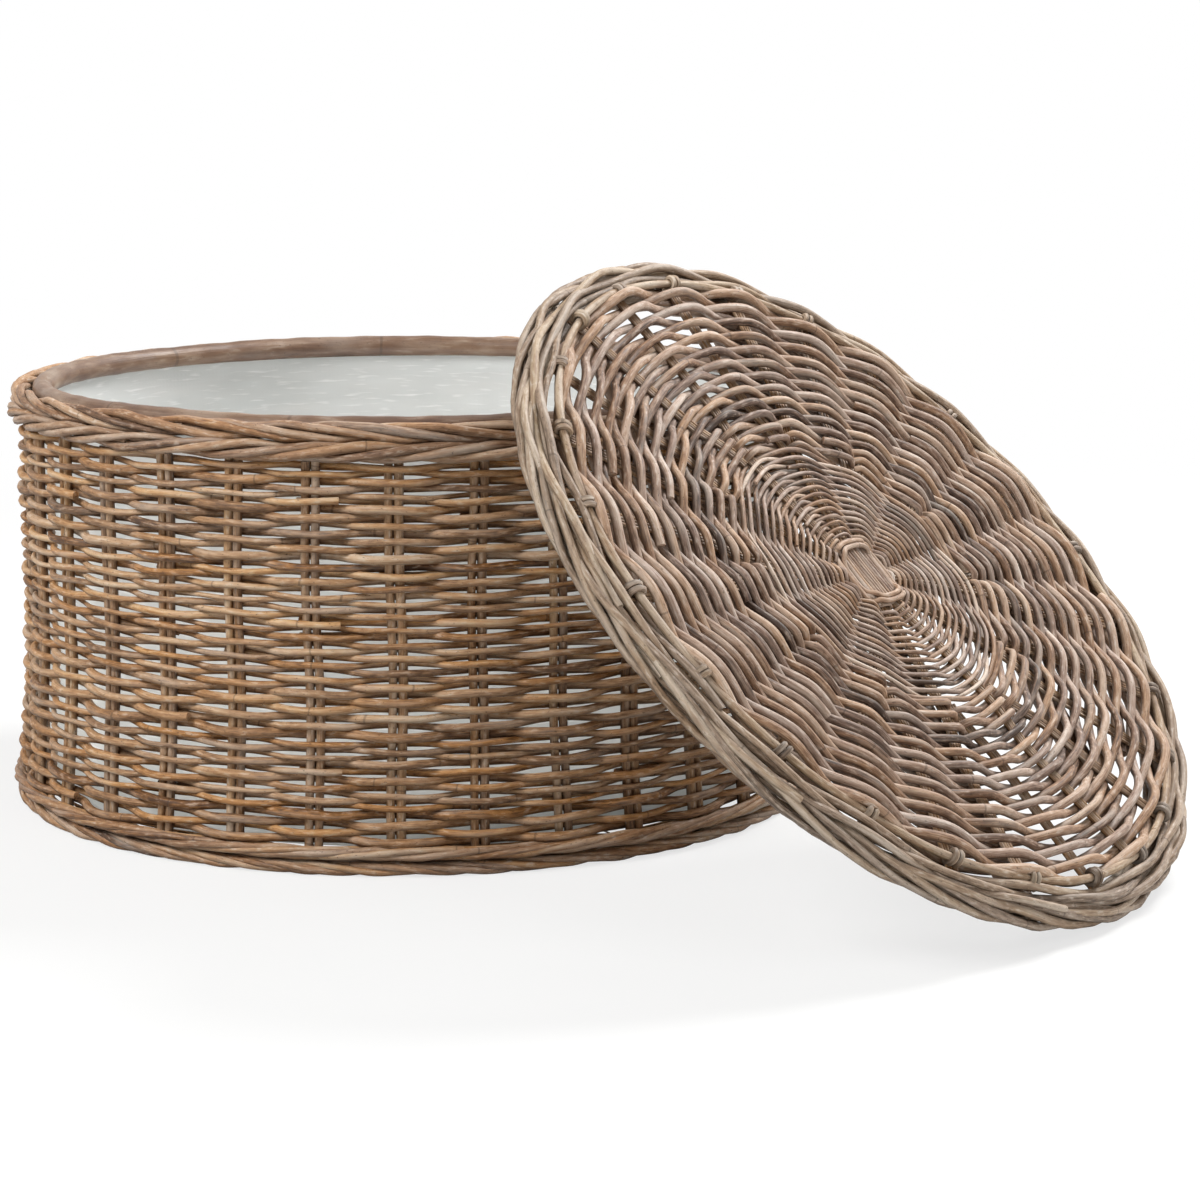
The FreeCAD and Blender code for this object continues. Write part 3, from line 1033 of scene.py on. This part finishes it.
STAKE = WashedRattan("washed_rattan_core_stake",
                     ("#463222", "#735841", "#91745a", "#a78b70", "#bda48b"),
                     ("#4a3018", "#7b5735", "#9a734b", "#af8b64", "#c0a482"))
# The pole gets less painted shade on its far side than the rods
POLE = WashedRattan("steam_bent_rattan_pole",
                    ("#34261e", "#584135", "#6f5646", "#836b59", "#968474"),
                    ("#3b2616", "#61432a", "#77573b", "#886c51", "#98836d"),
                    fibre=Grain(60 * MM, 1.2 * MM, 3.0), patch=Grain(120 * MM, 34 * MM, 2.0),
                    film=Grain(60 * MM, 17 * MM, 4.0), scuff=Grain(26 * MM, 6 * MM, 5.0),
                    fibre_strength=0.5, wash_amount=0.16, painted_shade_depth=0.3,
                    joint_spacing=230 * MM, joint_width=2.2 * MM, roughness=0.45)
CLOTH = LiningCloth()


# Sub-assemblies

@dataclass
class Wall:
    """The drum's wall: upright pairs, and rods woven round them."""

    pairs: int = 32
    first_angle: float = math.radians(1.5)
    pair_gap: float = 0.7 * MM
    upright_points: int = 30
    upright_uneven: float = 0.04
    upright_drift: Drift = Drift((0.5, 0.21), 1.4 * MM)
    rods_per_course: int = 3
    rod_share: float = 0.505
    row_uneven: float = 0.18
    row_limits: Range = (0.7, 1.35)
    most_joins: int = 2
    shown_share: float = 0.25
    snug: float = 0.84
    tone_spread: float = 0.12
    laid: HandLaid = HandLaid(Drift((0.31, 0.12), 0.7 * MM), Drift((0.43, 0.17, 0.071), 1.0 * MM),
                              Drift((0.2, 0.6), 0.22 * MM), uneven=0.06)
    flare_height: float = 155 * MM
    flare_slope: float = 0.07
    flare_softness: float = 0.15
    seed: int = 11
    uprights: Hoop = field(init=False)
    courses: list[str] = field(init=False)
    angles: Array = field(init=False)

    def __post_init__(self) -> None:
        """Reads the uprights and the courses from the frame, and sets out the pairs."""
        self.uprights = Hoop.of(node_points("wall_stakes"))
        self.courses = numbered("wall_course_")
        self.angles = even_angles(self.pairs, self.first_angle)

    def build(self) -> None:
        """Builds the uprights and the weaving."""
        self.build_uprights()
        self.build_weaving()

    def flare(self, height: Array | float) -> Array:
        """Gives how far the wall leans out near its foot."""
        below = np.maximum(0.0, self.flare_height - np.asarray(height, float))
        return self.flare_slope * below ** 2 / (below + self.flare_softness * self.flare_height)

    def build_uprights(self) -> None:
        """Sets two slightly bowed rods side by side at each place."""
        low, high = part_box("wall_stakes")
        rods = Rods(ROD_SIDES, self.seed)
        circle, section = self.uprights.circle, self.uprights.section
        half_pair = (section + self.pair_gap / 2) / circle
        height = np.linspace(low.z - section, high.z, self.upright_points)
        out = circle + self.flare(height)
        for middle in self.angles:
            lean = self.upright_drift.along(height, rods.random) / circle
            for side in (-1, 1):
                path = round_axis(middle + side * half_pair + lean, out, height)
                radius = section * rods.random.normal(1.0, self.upright_uneven)
                rods.add(path, radius, direction(middle))
        show(rods.mesh("wall_uprights"), STAKE.material(), Body.DRUM, ["wall_stakes"])

    def build_weaving(self) -> None:
        """Weaves each row round the uprights, and one more behind the foot."""
        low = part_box(self.courses[0])[0].z
        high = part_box(self.courses[-1])[1].z
        rows = len(self.courses) * self.rods_per_course + 1
        low -= (high - low) / rows
        rods = Rods(ROD_SIDES, self.seed + 1, tone_spread=self.tone_spread)
        random = rods.random
        widths = np.clip(random.normal(1.0, self.row_uneven, rows), *self.row_limits)
        widths *= (high - low) / widths.sum()
        levels = low + np.cumsum(widths) - widths / 2
        for number, (level, width) in enumerate(zip(levels, widths)):
            row = WovenRow(self.angles, number, flat_topped, shown_share=self.shown_share)
            radius = width * self.rod_share
            reach = (self.uprights.section + radius) * self.snug
            circle = self.uprights.circle + float(self.flare(level))
            for rod in row.rods(random, int(random.integers(1, self.most_joins + 1))):
                self.laid.lay(rods, circle, rod.angle, circle + reach * rod.side, level, radius)
        show(rods.mesh("wall_weaving"), WEAVER.material(), Body.DRUM, self.courses)


@dataclass
class Mouth:
    """The drum's mouth: a bent pole inside, and two border rows outside it."""

    pole_joint: float = 0.9
    strands: int = 4
    strand_radius: float = 3.7 * MM
    turn_length: float = 215 * MM
    upper_drop: float = 2.5 * MM
    upper_tuck: float = math.radians(215)
    lower_tuck: float = math.radians(170)
    pole_seed: int = 23
    upper_seed: int = 38
    lower_seed: int = 40

    def build(self) -> None:
        """Builds the pole and the border rows."""
        rods = Rods(POLE_SIDES, self.pole_seed)
        BentRod(Hoop.of(node_points("rim_pole")), self.pole_joint).add_to(rods)
        show(rods.mesh("mouth_pole"), POLE.material(), Body.DRUM, ["rim_pole"])
        look = PLAIT.material()
        for place, hand, tuck, drop, seed in (
                ("upper", Hand.FALLING, self.upper_tuck, self.upper_drop, self.upper_seed),
                ("lower", Hand.RISING, self.lower_tuck, 0.0, self.lower_seed)):
            node = f"top_border_{place}"
            hoop = Hoop.of(node_points(node))
            hoop = replace(hoop, level=hoop.level - drop)
            row = TwistedRow(hoop, self.strands, self.strand_radius, self.turn_length, hand, tuck)
            row.show_on_drum(f"mouth_row_{place}", node, look, seed)


@dataclass
class Foot:
    """The drum's foot: a thick twisted roll on the floor and a thinner row above it."""

    proud: float = 2 * MM
    clearance: float = 0.5 * MM
    strands: int = 4
    strand_share: float = 0.52
    border_turn: float = 210 * MM
    roll_turn: float = 150 * MM
    tuck: float = math.pi
    border_seed: int = 48
    roll_seed: int = 46

    def build(self) -> None:
        """Builds the two rows."""
        look = PLAIT.material()
        for place, turn_length, hand, seed in (
                ("border", self.border_turn, Hand.RISING, self.border_seed),
                ("roll", self.roll_turn, Hand.FALLING, self.roll_seed)):
            node = f"foot_{place}"
            hoop = Hoop.of(node_points(node))
            section = min(hoop.section, hoop.level - self.clearance)
            hoop = Hoop(hoop.circle + self.proud, section, hoop.level)
            row = TwistedRow(hoop, self.strands, section * self.strand_share, turn_length, hand, self.tuck)
            row.show_on_drum(f"foot_row_{place}", node, look, seed)


@dataclass
class Base:
    """The drum's base: a hoop, poles across it and a woven floor on top."""

    hoop_joint: float = 2.1
    spokes: int = 16
    spoke_points: int = 12
    spoke_share: float = 1 / 8
    spoke_tone: float = 0.3
    rows: int = 34
    row_steps: int = 8
    seed: int = 41

    def build(self) -> None:
        """Builds the base frame and the floor."""
        self.build_frame()
        self.build_floor()

    def build_frame(self) -> None:
        """Bends the hoop and lays the poles across it."""
        poles = numbered("base_pole_")
        rods = Rods(POLE_SIDES, self.seed)
        BentRod(Hoop.of(node_points("base_hoop")), self.hoop_joint).add_to(rods)
        for node in poles:
            StraightPole(node).add_to(rods)
        show(rods.mesh("base_frame"), POLE.material(), Body.DRUM, ["base_hoop", *poles])

    def build_floor(self) -> None:
        """Weaves the floor panel round thin spokes."""
        low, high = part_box("floor_panel")
        level = (low.z + high.z) / 2
        thickness = high.z - low.z
        pitch = (high.x - low.x) / 2 / (self.rows + 1)
        spoke_radius = thickness * self.spoke_share
        rod_radius = thickness / 2 - 2 * spoke_radius
        rods = Rods(THIN_SIDES, self.seed + 1)
        angles = even_angles(self.spokes)
        for angle in angles:
            out = np.linspace(0.0, high.x, self.spoke_points)
            rods.add(round_axis(angle, out, level), spoke_radius, UP, self.spoke_tone)
        for number in range(self.rows):
            row = WovenRow(angles, number, arched, self.row_steps)
            for rod in row.rods(rods.random, 1):
                rise = rod.side * (spoke_radius + rod_radius) / 2
                rods.add(round_axis(rod.angle, pitch * (number + 1), level + rise), rod_radius)
        show(rods.mesh("floor_weaving"), WEAVER.material(), Body.DRUM, ["floor_panel"])


@dataclass
class Lining:
    """The cloth lining: a band hung round the wall from the mouth pole, and a round floor laid flat."""

    overlap: float = 14 * MM
    seam_angle: float = math.radians(100)
    wall_gap: float = 1.4 * MM
    lap_step: float = 0.5 * MM
    held_share: float = 0.4
    held_run: float = 200 * MM
    band_drift: Drift = Drift((0.29, 0.173, 0.11), 0.5 * MM)
    floor_drift: Drift = Drift((0.31, 0.19), 0.3 * MM)
    flat_edge: float = 0.2
    hole_share: float = 0.002
    columns: int = 260
    floor_columns: int = 120
    lines: int = 40
    seed: int = 53

    def build(self) -> None:
        """Builds the band and the floor."""
        look = CLOTH.material()
        self.build_band(look)
        self.build_floor(look)

    def build_band(self, look: Material) -> None:
        """Hangs the band, closed by an overlapped seam at the back.

        Args:
            look: The cloth's material.
        """
        low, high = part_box("liner_wall")
        random = np.random.default_rng(self.seed)
        circle = (high.x - low.x) / 2 - self.wall_gap
        width = FULL_TURN * circle + self.overlap
        run = np.linspace(0.0, width, self.columns)
        across, up = np.meshgrid(run, np.linspace(low.z, high.z, self.lines))
        free = self.held_share + (1 - self.held_share) * eased((high.z - up) / self.held_run)
        out = circle - self.lap_step * across / width
        out = out + self.band_drift.along(across, random) * free
        points = round_axis(self.seam_angle + across / circle, out, up)
        space = np.stack((across, up, np.zeros_like(up)), axis=-1)
        mesh = cloth_mesh("lining_band", points, space)
        piece = show(mesh, look, Body.DRUM, ["liner_wall"])

    def build_floor(self, look: Material) -> None:
        """Lays the floor cloth with a faint ripple.

        Args:
            look: The cloth's material.
        """
        low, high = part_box("liner_floor")
        random = np.random.default_rng(self.seed + 1)
        radius = (high.x - low.x) / 2
        out, angle = np.meshgrid(np.linspace(self.hole_share, 1.0, self.lines) * radius,
                                 np.linspace(0, FULL_TURN, self.floor_columns))
        points = round_axis(angle, out, (low.z + high.z) / 2)
        ripple = self.floor_drift.along(points[..., 0], random)
        points[..., 2] += ripple * eased((radius - out) / (self.flat_edge * radius))
        mesh = cloth_mesh("lining_floor", points, points.copy())
        piece = show(mesh, look, Body.DRUM, ["liner_floor"])


def cloth_mesh(name: str, points: Array, space: Array) -> Mesh:
    """Makes a sheet from a grid of points.

    Args:
        name: The mesh's name.
        points: The grid, as lines of points.
        space: Each point's place on the flat cloth.

    Returns:
        The mesh.
    """
    lines, columns = points.shape[:2]
    first = (np.arange(lines - 1)[:, None] * columns + np.arange(columns - 1)).ravel()
    quads = np.stack((first, first + 1, first + columns + 1, first + columns), axis=-1)
    mesh = bpy.data.meshes.new(name)
    mesh.from_pydata(points.reshape(-1, 3), [], quads.tolist())
    attribute = mesh.attributes.new("cloth_space", "FLOAT_VECTOR", "POINT")
    attribute.data.foreach_set("vector", space.ravel())
    mesh.shade_smooth()
    return mesh


@dataclass
class LidPanel:
    """The lid's woven disc: a cross of rods in the middle, spokes that split in two, and rows round them.

    The heart is the cross and the rows that tie it. Arches are a row's rise over a spoke, as a share of
    what would just clear it.
    """

    space: Space
    groups: int = 12
    first_group: float = math.radians(16)
    opened: float = math.radians(7.5)
    opening: float = math.radians(2.4)
    opening_run: float = 60 * MM
    split: float = 134 * MM
    spoke_rods: int = 4
    spoke_pitch: float = 2.05
    spoke_points: int = 40
    spoke_drift: Drift = Drift((0.13, 0.05), 0.2 * MM)
    inner_rows: int = 28
    inner_share: float = 0.47
    inner_steps: int = 16
    outer_rows: int = 25
    outer_share: float = 0.5
    outer_steps: int = 14
    growth: float = 1.3
    arch: float = 1.4
    edge_arch: float = 0.6
    edge_run: float = 75 * MM
    edge_lap: float = 1 / 3
    laid: HandLaid = HandLaid(Drift((0.37, 0.15, 0.066), 0.5 * MM),
                              thickness_drift=Drift((0.2,), 0.1 * MM), uneven=0.04)
    tone_spread: float = 0.14
    sag: float = 5 * MM
    cross_rods: int = 10
    cross_points: int = 16
    cross_drift: Drift = Drift((0.09, 0.04), 0.25 * MM)
    cross_lift: Drift = Drift((0.08,), 0.15 * MM)
    heart_rows: int = 2
    heart_strand: float = 2.3 * MM
    heart_growth: float = 1.18
    heart_points: int = 90
    heart_joint: float = 0.4
    heart_length: float = 0.35
    heart_squareness: float = 0.6
    heart_drift: Drift = Drift((2.1, 1.3), 0.3 * MM)
    heart_tone: float = 0.55
    seed: int = 61
    spoke_level: float = field(init=False)
    spoke_radius: float = field(init=False)
    spoke_end: float = field(init=False)
    weave_start: float = field(init=False)
    weave_end: float = field(init=False)
    group_angles: Array = field(init=False)

    def __post_init__(self) -> None:
        """Reads the panel's levels and reach from the frame, and sets out the spoke groups."""
        spokes = self.space.inside(node_points("lid_long_spokes"))
        self.spoke_level = middle_of(spokes)[2]
        self.spoke_radius = spokes[:, 2].max() - self.spoke_level
        self.spoke_end = np.hypot(spokes[:, 0], spokes[:, 1]).max() + LID_EDGE_SHIFT
        edge = lid_edge(self.space)
        self.weave_end = edge.circle - edge.section * self.edge_lap
        cross = self.space.inside(node_points("lid_slath_upper"))
        tied = 2 * self.heart_strand * self.heart_rows
        self.weave_start = cross[:, 1].max() * self.heart_growth + tied
        self.group_angles = even_angles(self.groups, self.first_group)

    def build(self) -> None:
        """Builds the cross, the spokes and the weaving."""
        self.build_cross()
        self.build_spokes()
        self.build_weaving()

    def spread(self, reach: Array) -> Array:
        """Gives the angle from a group's middle to its two spokes.

        Args:
            reach: Distances from the centre.

        Returns:
            The angle at each distance.
        """
        past = (reach - self.split) / self.opening_run
        within = self.opening * eased(past + 1)
        beyond = self.opening + (self.opened - self.opening) * eased(past)
        return np.where(reach < self.split, within, beyond)

    def sunk(self, reach: Array | float) -> Array:
        """Gives how far the panel lies below its edge at each distance from the centre."""
        return self.sag * (1 - np.minimum(1.0, np.asarray(reach, float) / self.weave_end) ** 2)

    def build_cross(self) -> None:
        """Lays the two crossed bundles at the centre."""
        rods = Rods(ROD_SIDES, self.seed, self.space)
        nodes = ["lid_slath_upper", "lid_slath_lower"]
        for lengthwise, name in enumerate(nodes):
            solid = self.space.inside(node_points(name))
            low, high = solid.min(axis=0), solid.max(axis=0)
            crosswise = 1 - lengthwise
            middles, widths = graded(low[crosswise], high[crosswise], self.cross_rods, 1.0)
            run = np.linspace(low[lengthwise], high[lengthwise], self.cross_points)
            for middle, width in zip(middles * self.heart_growth, widths):
                path = np.zeros((len(run), 3))
                path[:, lengthwise] = run
                path[:, crosswise] = middle + self.cross_drift.along(run, rods.random)
                path[:, 2] = (low[2] + high[2]) / 2 - self.sag + self.cross_lift.along(run, rods.random)
                rods.add(path, width / 2)
        self.add_ties(rods)
        show(rods.mesh("lid_cross"), LID_WEAVER.material(), Body.LID, nodes)

    def add_ties(self, rods: Rods) -> None:
        """Ties the upper bundle down with rows that pass over its ends and run along its sides.

        Args:
            rods: The bundle that takes them.
        """
        solid = self.space.inside(node_points("lid_slath_upper"))
        half_length, half_width, top = solid.max(axis=0) * (1.0, self.heart_growth, 1.0)
        strand = self.heart_strand
        angle = np.linspace(self.heart_joint, self.heart_joint + FULL_TURN, self.heart_points)
        round_it = direction(angle)
        squared = np.sign(round_it) * np.abs(round_it) ** self.heart_squareness
        for number in range(self.heart_rows):
            beside = half_width + strand * (2 * number + 1)
            beyond = beside + self.heart_length * (half_length - half_width)
            path = squared * (beyond, beside, 0.0)
            over = eased((half_width + strand - np.abs(path[:, 1])) / (2 * strand))
            path[:, 2] = self.spoke_level - self.sag + strand + over * (top - self.spoke_level)
            path[:, 2] += self.heart_drift.along(angle, rods.random)
            rods.add(path, strand, UP, self.heart_tone)

    def build_spokes(self) -> None:
        """Lays thin rods side by side in a group's two spokes, from the heart and from the split."""
        rods = Rods(THIN_SIDES, self.seed + 1, self.space)
        places = np.arange(self.spoke_rods) - (self.spoke_rods - 1) / 2
        for middle in self.group_angles:
            for side, start in ((-1, self.weave_start - self.heart_strand), (1, self.split)):
                reach = np.linspace(start, self.spoke_end, self.spoke_points)
                angle = middle + side * self.spread(reach)
                level = self.spoke_level - self.sunk(reach)
                aside = np.cross(UP, direction(angle)) * self.spoke_radius * self.spoke_pitch
                for place in places:
                    drift = self.spoke_drift.along(reach, rods.random)
                    rods.add(round_axis(angle, reach, level + drift) + aside * place, self.spoke_radius)
        nodes = ["lid_long_spokes", "lid_short_spokes"]
        show(rods.mesh("lid_spokes"), STAKE.material(), Body.LID, nodes)

    def build_weaving(self) -> None:
        """Weaves the rows, round the groups inside the split and round every spoke outside it."""
        rods = Rods(ROD_SIDES, self.seed + 2, self.space, self.tone_spread)
        inner = graded(self.weave_start, self.split, self.inner_rows, self.growth)
        for number, (reach, width) in enumerate(zip(*inner)):
            row = WovenRow(self.group_angles, number, arched, self.inner_steps)
            self.add_row(rods, row, reach, width * self.inner_share)
        outer = graded(self.split, self.weave_end, self.outer_rows, self.growth)
        for number, (reach, width) in enumerate(zip(*outer)):
            spread = float(self.spread(np.array(reach)))
            crossings = np.stack((self.group_angles - spread, self.group_angles + spread), axis=1).ravel()
            row = WovenRow(crossings, number, arched, self.outer_steps)
            self.add_row(rods, row, reach, width * self.outer_share)
        courses = numbered("lid_course_")
        show(rods.mesh("lid_weaving"), LID_WEAVER.material(), Body.LID, courses)

    def add_row(self, rods: Rods, row: WovenRow, reach: float, radius: float) -> None:
        """Adds one row of the panel.

        Args:
            rods: The bundle that takes it.
            row: The row's crossings and bend.
            reach: Its distance from the centre.
            radius: Its rods' radius.
        """
        arch = self.arch + self.edge_arch * float(eased((reach - self.weave_end) / self.edge_run + 1))
        for rod in row.rods(rods.random, 1):
            rise = rod.side * (self.spoke_radius + radius) * np.where(rod.side > 0, arch, 1.0)
            level = self.spoke_level - self.sunk(reach) + rise
            self.laid.lay(rods, reach, rod.angle, reach, level, radius)


@dataclass
class LidRim:
    """The lid's rim: a woven border and twisted rows rolled over a hoop, and a rod lashed inside it.

    The border's start and end are angles on the rim's section, from level. Both twisted rows are sized by
    half the rim's section.
    """

    space: Space
    spokes: int = 24
    first_spoke: float = math.radians(8.5)
    strands: int = 5
    strand_radius: float = 3.3 * MM
    turn_length: float = 320 * MM
    outer_size: float = 1.1
    outer_tuck: float = math.radians(180)
    under_shift: float = 0.5
    under_tuck: float = math.radians(70)
    border_rows: int = 4
    border_start: float = math.radians(108)
    border_end: float = math.radians(30)
    border_swing: float = 4.2 * MM
    border_steps: int = 14
    border_joins: int = 3
    border_uneven: float = 0.07
    border_drift: Drift = Drift((0.37, 0.16), 2.2 * MM)
    edge_joint: float = 0.3
    edge_gap: float = 0.004
    edge_points: int = 260
    edge_laid: HandLaid = HandLaid(Drift((0.4, 0.17), 0.6 * MM), Drift((0.3, 0.13), 0.3 * MM))
    lashing_radius: float = 2.5 * MM
    lashing_turns: int = 2
    lashing_points: int = 18
    lashing_hug: float = 0.8
    lashing_pitch: float = 2.1
    seed: int = 71
    angles: Array = field(init=False)

    def __post_init__(self) -> None:
        """Sets out the spokes' ends."""
        self.angles = even_angles(self.spokes, self.first_spoke)

    def build(self) -> None:
        """Builds the rolled rim, the edge rod and its lashings."""
        self.build_roll()
        self.build_edge_rod()

    def build_roll(self) -> None:
        """Weaves the border over the top of the rim, and lays twisted rows outside and below it."""
        roll = Hoop.of(self.space.inside(node_points("lid_rim_roll")))
        rods = Rods(ROD_SIDES, self.seed, self.space)
        half = roll.section / 2
        for number, slope in enumerate(np.linspace(self.border_start, self.border_end, self.border_rows)):
            self.add_border_row(rods, roll, number, slope)
        outer = Hoop(roll.circle + half, half * self.outer_size, roll.level)
        under = Hoop(roll.circle - half * self.under_shift, half, roll.level - half)
        for hoop, hand, tuck in ((outer, Hand.FALLING, self.outer_tuck),
                                 (under, Hand.RISING, self.under_tuck)):
            row = TwistedRow(hoop, self.strands, self.strand_radius, self.turn_length, hand, tuck)
            row.add_to(rods)
        nodes = ["lid_rim_roll", "lid_hoop"]
        show(rods.mesh("lid_rim"), LID_PLAIT.material(), Body.LID, nodes)

    def add_border_row(self, rods: Rods, roll: Hoop, number: int, slope: float) -> None:
        """Weaves one border row round the spokes' ends.

        Args:
            rods: The bundle that takes it.
            roll: The rim's place and size.
            number: The row's number, from inside.
            slope: Angle from level at which the row lies on the rim's section.
        """
        middle = roll.section - self.border_swing - self.strand_radius / 2
        row = WovenRow(self.angles, number, arched, self.border_steps)
        for rod in row.rods(rods.random, self.border_joins):
            run = rod.angle * roll.circle
            out = middle + self.border_swing * rod.side
            tilt = slope + self.border_drift.along(run, rods.random) / middle
            path = round_axis(rod.angle, roll.circle + out * np.cos(tilt), roll.level + out * np.sin(tilt))
            rods.add(path, self.strand_radius * rods.random.normal(1.0, self.border_uneven))

    def build_edge_rod(self) -> None:
        """Lays the edge rod and lashes it at each spoke."""
        edge = lid_edge(self.space)
        look = LID_PLAIT.material()
        rods = Rods(EDGE_SIDES, self.seed + 1, self.space)
        rod = BentRod(edge, self.edge_joint, self.edge_laid, self.edge_gap, self.edge_points, tone=None)
        rod.add_to(rods)
        show(rods.mesh("lid_edge_rod"), look, Body.LID, ["lid_ring_rod"])
        rods = Rods(THIN_SIDES, self.seed + 2, self.space)
        for angle in self.angles:
            self.add_lashing(rods, edge, angle)
        show(rods.mesh("lid_lashings"), look, Body.LID, ["lid_bindings"])

    def add_lashing(self, rods: Rods, edge: Hoop, angle: float) -> None:
        """Winds one lashing round the edge rod.

        Args:
            rods: The bundle that takes it.
            edge: The edge rod.
            angle: The spoke's angle.
        """
        share = np.linspace(0.0, 1.0, self.lashing_points * self.lashing_turns)
        turn = FULL_TURN * self.lashing_turns * share - math.pi / 2
        wound = edge.section + self.lashing_radius * self.lashing_hug
        width = self.lashing_pitch * self.lashing_radius * self.lashing_turns
        along = np.cross(UP, direction(angle))
        path = round_axis(angle, edge.circle + wound * np.cos(turn), edge.level + wound * np.sin(turn))
        rods.add(path + np.outer((share - 0.5) * width, along), self.lashing_radius, along)


@dataclass
class LidPoles:
    """The poles under the lid, with their ends in the rim."""

    tuck: float = 9 * MM
    seed: int = 83

    def build(self) -> None:
        """Builds the poles."""
        poles = numbered("lid_pole_")
        rods = Rods(POLE_SIDES, self.seed)
        for node in poles:
            StraightPole(node, self.tuck).add_to(rods)
        show(rods.mesh("lid_underside_poles"), POLE.material(), Body.LID, poles)


# The studio

@dataclass(frozen=True)
class Lamp:
    """A round soft lamp: where it hangs, where it points, its width and its power in watts."""

    name: str
    place: Sequence[float]
    aim: Sequence[float]
    width: float
    power: float

    def hang(self) -> None:
        """Hangs the lamp, out of the camera's sight."""
        light = bpy.data.lights.new(self.name, "AREA")
        light.shape = "DISK"
        light.size = self.width
        light.energy = self.power
        holder = placed(light)
        holder.location = self.place
        holder.rotation_euler = (Vector(self.aim) - Vector(self.place)).to_track_quat("-Z", "Y").to_euler()
        holder.visible_camera = False


@dataclass
class Studio:
    """A white room: a pale floor that keeps a soft shadow, large soft lamps and the camera."""

    floor_colour: str = "#f4f4f2"
    floor_size: float = 14.0
    floor_white: float = 0.72
    fade_range: Range = (0.9, 2.4)
    world_level: float = 0.25
    lining_lamp_gap: float = 15 * MM
    camera_place: tuple[float, float, float] = (1.8335, -2.3592, 0.7083)
    camera_turn: float = math.radians(34.53)
    camera_dip: float = math.radians(10.265)
    focal_pixels: float = 3249.57
    picture_pixels: float = 1200.0

    def build(self) -> None:
        """Builds the floor, the light and the camera."""
        self.build_floor()
        self.build_world()
        self.build_lamps()
        self.build_camera()

    def build_floor(self) -> None:
        """Lays the floor: white to the camera far from the table, and near it part left for the shadow."""
        half = self.floor_size / 2
        corners = [(-half, -half, 0), (half, -half, 0), (half, half, 0), (-half, half, 0)]
        mesh = bpy.data.meshes.new("studio_floor")
        mesh.from_pydata(corners, [], [(0, 1, 2, 3)])
        floor = placed(mesh)
        material, tree = empty_material("studio_floor_matt_paint")
        matt = add_node(tree, "BsdfDiffuse", {"Color": linear(self.floor_colour)})
        white = add_node(tree, "Emission", {"Color": WHITE, "Strength": 1.0})
        ray = add_node(tree, "LightPath")
        place = add_node(tree, "NewGeometry").outputs["Position"]
        distance = add_node(tree, "VectorMath", {0: place}, operation="LENGTH").outputs["Value"]
        share = ranged(tree, distance, self.fade_range, self.floor_white, 1.0, "SMOOTHSTEP")
        seen = calculated(tree, "MULTIPLY", ray.outputs["Is Camera Ray"], share)
        mixed = shared(tree, seen, matt, white)
        add_node(tree, "OutputMaterial", {"Surface": mixed.outputs[0]})
        mesh.materials.append(material)

    def build_world(self) -> None:
        """Makes the room white to the eye and a plain grey as light."""
        world = bpy.data.worlds.new("studio_room")
        bpy.context.scene.world = world
        world.use_nodes = True
        tree = world.node_tree
        tree.nodes.clear()
        ray = add_node(tree, "LightPath").outputs
        mirrored = calculated(tree, "MAXIMUM", ray["Is Glossy Ray"], ray["Is Transmission Ray"])
        seen = calculated(tree, "MAXIMUM", ray["Is Camera Ray"], mirrored)
        light = add_node(tree, "Background", {"Color": WHITE, "Strength": self.world_level})
        white = add_node(tree, "Background", {"Color": WHITE, "Strength": 1.0})
        mixed = shared(tree, seen, light, white)
        add_node(tree, "OutputWorld", {"Surface": mixed.outputs[0]})

    def build_lamps(self) -> None:
        """Hangs soft lamps behind on the right, in front and at the side, and one that lights the lining."""
        low, high = CAD_BOX
        middle = tuple((low + high) / 2)
        inside = (0.0, 0.0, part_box("liner_floor")[1].z + self.lining_lamp_gap)
        for lamp in (Lamp("key_lamp", place=(0.9, 2.0, 2.6), aim=middle, width=1.3, power=125.0),
                     Lamp("front_lamp", place=(-0.7, -2.7, 2.6), aim=middle, width=1.6, power=98.0),
                     Lamp("side_lamp", place=(2.9, -0.8, 2.0), aim=middle, width=1.6, power=12.0),
                     Lamp("lining_lamp", place=inside, aim=(0.0, 0.0, high.z), width=0.6, power=2.2)):
            lamp.hang()

    def build_camera(self) -> None:
        """Sets the camera at the photograph's viewing angle."""
        lens = bpy.data.cameras.new("camera")
        lens.lens = lens.sensor_width * self.focal_pixels / self.picture_pixels
        camera = placed(lens)
        camera.location = self.camera_place
        level = math.cos(self.camera_dip)
        sight = Vector((-math.sin(self.camera_turn) * level, math.cos(self.camera_turn) * level,
                        -math.sin(self.camera_dip)))
        camera.rotation_euler = sight.to_track_quat("-Z", "Y").to_euler()
        bpy.context.scene.camera = camera


def main() -> None:
    """Builds the table piece by piece, then the studio round it."""
    logging.basicConfig(level=logging.INFO, format="%(message)s")
    bpy.context.scene.view_settings.view_transform = "Standard"
    lid = Space.of_lid()
    for assembly in (Wall(), Mouth(), Foot(), Base(), Lining(),
                     LidPanel(lid), LidRim(lid), LidPoles(), Studio()):
        assembly.build()


if __name__ == "__main__":
    main()
